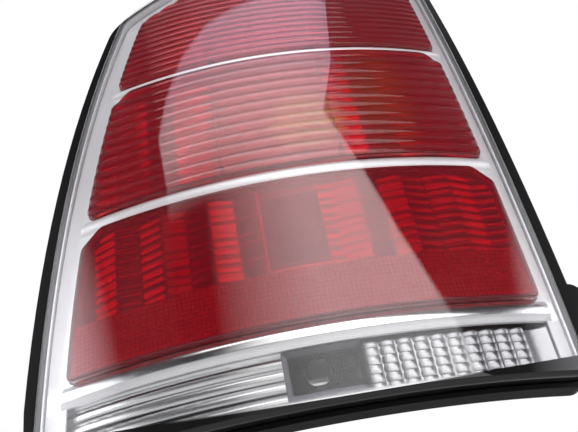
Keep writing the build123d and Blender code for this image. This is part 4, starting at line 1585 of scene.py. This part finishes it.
@dataclass(frozen=True)
class ThreadedStuds(Assembly):
    """The three studs with their rolled thread."""

    places: tuple[Pair, ...] = ((98.0, 30.0), (84.0, 186.0), (-98.0, -34.0))
    radius: float = 3.0
    length: float = 26.0
    pitch: float = 1.0
    groove: float = 0.55
    run_out: float = 1.5
    seat: float = 0.05
    chamfer: float = 0.8
    chamfer_run: float = 0.9
    head_front: float = -10.5
    head_back: float = -7.5
    head_radius: float = 7.0
    shank_radius: float = 4.0
    rows_per_mm: int = 10
    count: int = 36

    def build(self) -> Objects:
        """Each thread is a zig-zag of the radius that climbs one pitch per turn, run out at both ends.

        Returns:
            The studs.
        """
        turn, end = around(self.count), self.length - self.chamfer_run
        y = np.linspace(self.seat, end, int(self.length * self.rows_per_mm))[:, None]
        phase = (y / self.pitch - turn / (2 * np.pi)) % 1.0
        run_out = np.clip(np.minimum(y - y[0], y[-1] - y) / self.run_out, 0, 1)
        thread = self.radius - self.groove * np.abs(2 * phase - 1) * run_out
        point = [(self.radius, end), (self.radius - self.chamfer, self.length), (0.0, self.length)]
        head = [(0.0, self.head_front), (self.head_radius, self.head_front), (self.head_radius, self.head_back)]
        shank = [(self.shank_radius, self.head_back), (self.shank_radius, 0.0), (self.radius, self.seat)]
        piece = Piece("stud_threads")
        for x, z in self.places:
            piece.grid(rings(x, y, z, thread, thread, turn), wrap=True)
            piece.grid(turned(point, x, z, self.count), wrap=True)
            piece.grid(turned(head + shank, x, z, self.count), wrap=True)
        return [piece.build(Slot.ZINC, ZINC, ("mounting_studs",), 35.0)]


@dataclass(frozen=True)
class Studio:
    """Pale floor, a tall soft light in front, a surround that is pale behind, and the camera of the photo."""

    floor_level: float = -0.62
    floor_half: float = 6.0
    light_plane: float = -1.3
    light_strength: float = 2.5
    light_outline: tuple[Pair, ...] = (
        (-0.8, -0.1), (1.1, -0.1), (0.94, 0.27), (0.68, 0.69), (0.49, 1.18),
        (0.40, 1.39), (0.66, 1.99), (1.06, 3.41), (0.35, 3.41), (0.08, 3.04),
        (-0.45, 2.69), (-0.73, 2.28), (-0.87, 1.88), (-0.93, 1.54), (-0.85, 1.15),
    )
    # Slope per millimetre and start of the light's share across, its share upwards and its cooler top.
    fades: tuple[tuple[Axis, float, float], ...] = (
        (Axis.X, 0.0016, 0.9), (Axis.Z, 0.0025, -2.3), (Axis.Z, 0.0014, -2.1),
    )
    warm: Colour = (1.0, 0.99, 0.98)
    cool: Colour = (0.5, 0.58, 0.74)
    dark: Colour = (0.03, 0.03, 0.032)
    left_end: Colour = (3.3, 3.3, 3.4)
    right_end: Colour = (3.6, 3.6, 3.7)
    camera_place: Triple = (-0.11234, -0.43061, -0.25392)
    forward: Triple = (0.04189, 0.82700, 0.56064)
    image_right: Triple = (0.98432, 0.06205, -0.16509)
    focal_pixels: float = 700.0
    image_width: float = 578.0
    sensor: float = 36.0

    def flat(self, name: str, corners: list[tuple], finish: bpy.types.Material) -> bpy.types.Object:
        """Makes a flat stage piece.

        Args:
            name: The object's name.
            corners: Corner points in metres.
            finish: Its material.

        Returns:
            The stage object.
        """
        mesh = bpy.data.meshes.new(name)
        mesh.from_pydata(corners, [], [tuple(range(len(corners)))])
        mesh.materials.append(finish)
        sheet = bpy.data.objects.new(name, mesh)
        bpy.context.scene.collection.objects.link(sheet)
        return sheet

    def floor(self) -> None:
        """Pale matt floor below the lamp."""
        material, paint = painted("stage_floor")
        tone = paint.blend(paint.noise(3.0), (0.80, 0.80, 0.80), (0.84, 0.84, 0.84))
        paint.output(paint.surface({"Base Color": tone, "Roughness": 0.9}))
        h, z = self.floor_half, self.floor_level
        self.flat("floor", [(-h, -h, z), (h, -h, z), (h, h, z), (-h, h, z)], material)

    def soft_light(self) -> None:
        """Tall soft light whose reflection lies over the middle of the lens, dimmer low on the left."""
        material, paint = painted("stage_light")
        across, up, cool = (
            paint.clamp(paint.along(axis) * slope + start) for axis, slope, start in self.fades
        )
        tone = paint.blend(1.0 - (1.0 - across) * (1.0 - up), BLACK, self.warm)
        tone = paint.blend(cool, tone, self.cool)
        values = {"Color": tone, "Strength": self.light_strength}
        paint.output(paint.node("ShaderNodeEmission", None, values))
        corners = [(x, self.light_plane, z) for x, z in self.light_outline]
        self.flat("soft_light", corners, material).visible_camera = False

    def surround(self) -> None:
        """World: white behind the lamp and to the camera, dark in front with a bright end on either side."""
        world = bpy.data.worlds.new("surround")
        world.use_nodes = True
        paint = Paint(world.node_tree)
        way = paint.node("ShaderNodeTexCoord", output="Generated")
        across, depth = (
            paint.node("ShaderNodeSeparateXYZ", None, {0: way}, axis.value) * 0.5 + 0.5
            for axis in (Axis.X, Axis.Y)
        )
        stops = ((0.09, self.left_end), (0.17, self.dark), (0.89, self.dark), (0.95, self.right_end))
        ahead = paint.node("ShaderNodeValToRGB", {"stops": stops}, {0: across}, "Color")
        stops = ((0.48, BLACK), (0.62, WHITE))
        behind = paint.node("ShaderNodeValToRGB", {"stops": stops}, {0: depth}, "Color")
        tone = paint.blend(behind, ahead, WHITE)
        tone = paint.blend(paint.node("ShaderNodeLightPath", output="Is Camera Ray"), tone, WHITE)
        paint.output(paint.node("ShaderNodeBackground", None, {"Color": tone}), "ShaderNodeOutputWorld")
        bpy.context.scene.world = world

    def camera(self) -> None:
        """Camera below the lamp, looking up and tilted as in the photo."""
        lens = bpy.data.cameras.new("camera")
        lens.sensor_width = self.sensor
        lens.lens = self.focal_pixels / self.image_width * self.sensor
        lens.clip_start = 0.01
        ahead, right = Vector(self.forward).normalized(), Vector(self.image_right)
        right = (right - ahead * right.dot(ahead)).normalized()
        turn = Matrix((right, right.cross(ahead), -ahead)).transposed().to_4x4()
        camera = bpy.data.objects.new("camera", lens)
        camera.matrix_world = Matrix.Translation(self.camera_place) @ turn
        bpy.context.scene.collection.objects.link(camera)
        bpy.context.scene.camera = camera

    def build(self) -> None:
        """Sets up the whole stage."""
        self.floor()
        self.soft_light()
        self.surround()
        self.camera()
        bpy.context.scene.view_settings.view_transform = "Standard"


def sub_assemblies() -> list[Assembly]:
    """The lamp's smooth pieces, with their levels and sizes in millimetres.

    Returns:
        The sub-assemblies in the order in which they are built.
    """
    top = RedTier("top_red_lens", 131.0, 262.0, 6.2, 0.8, crowned=True, finish=RED_TOP)
    middle = RedTier("middle_red_lens", 28.0, 125.0, 7.8, 0.9, finish=RED_AMBER)
    lower = RedTier("lower_red_lens", -71.0, 18.0)
    return [
        OuterLens(),
        top,
        middle,
        lower,
        ReflectorFacets("top_facets", top, 134.6, 205.0, pitch=6.24, rise=0.5, column=38.0),
        ReflectorFacets("middle_facets", middle, 32.0, 121.0, 8.08, 0.6, column=19.0, tilt=2.4, depth=10.0),
        ReflectorFacets(
            "lower_facets", lower, -40.0, 14.4, 5.6, 0.8, 14.0, 3.2, 9.2, (-13.0, 20.0), FACET_METAL
        ),
        ReverseBowl(),
        ReverseCove(),
        ReflectorBowl("stop_bowl", STOP_LEVEL, 37.0),
        ReflectorBowl("indicator_bowl", INDICATOR_LEVEL, 43.5),
        ReflectorBowl("tail_bowl", TAIL_LEVEL, 24.5),
        BayonetBulb("stop_bulb", STOP_LEVEL),
        BayonetBulb("indicator_bulb", INDICATOR_LEVEL, Slot.AMBER, AMBER_GLASS),
        BayonetBulb("tail_bulb", TAIL_LEVEL),
        WedgeBulb(),
        ThreadedStuds(),
    ]


def main() -> None:
    """Dresses the lamp, builds and reports its smooth pieces, and sets the stage."""
    logging.basicConfig(level=logging.INFO, format="%(message)s")
    dress_nodes()
    for assembly in sub_assemblies():
        for piece in assembly.build():
            LOG.info("%s: %d faces", piece.name, len(piece.data.polygons))
    Studio().build()


if __name__ == "__main__":
    main()
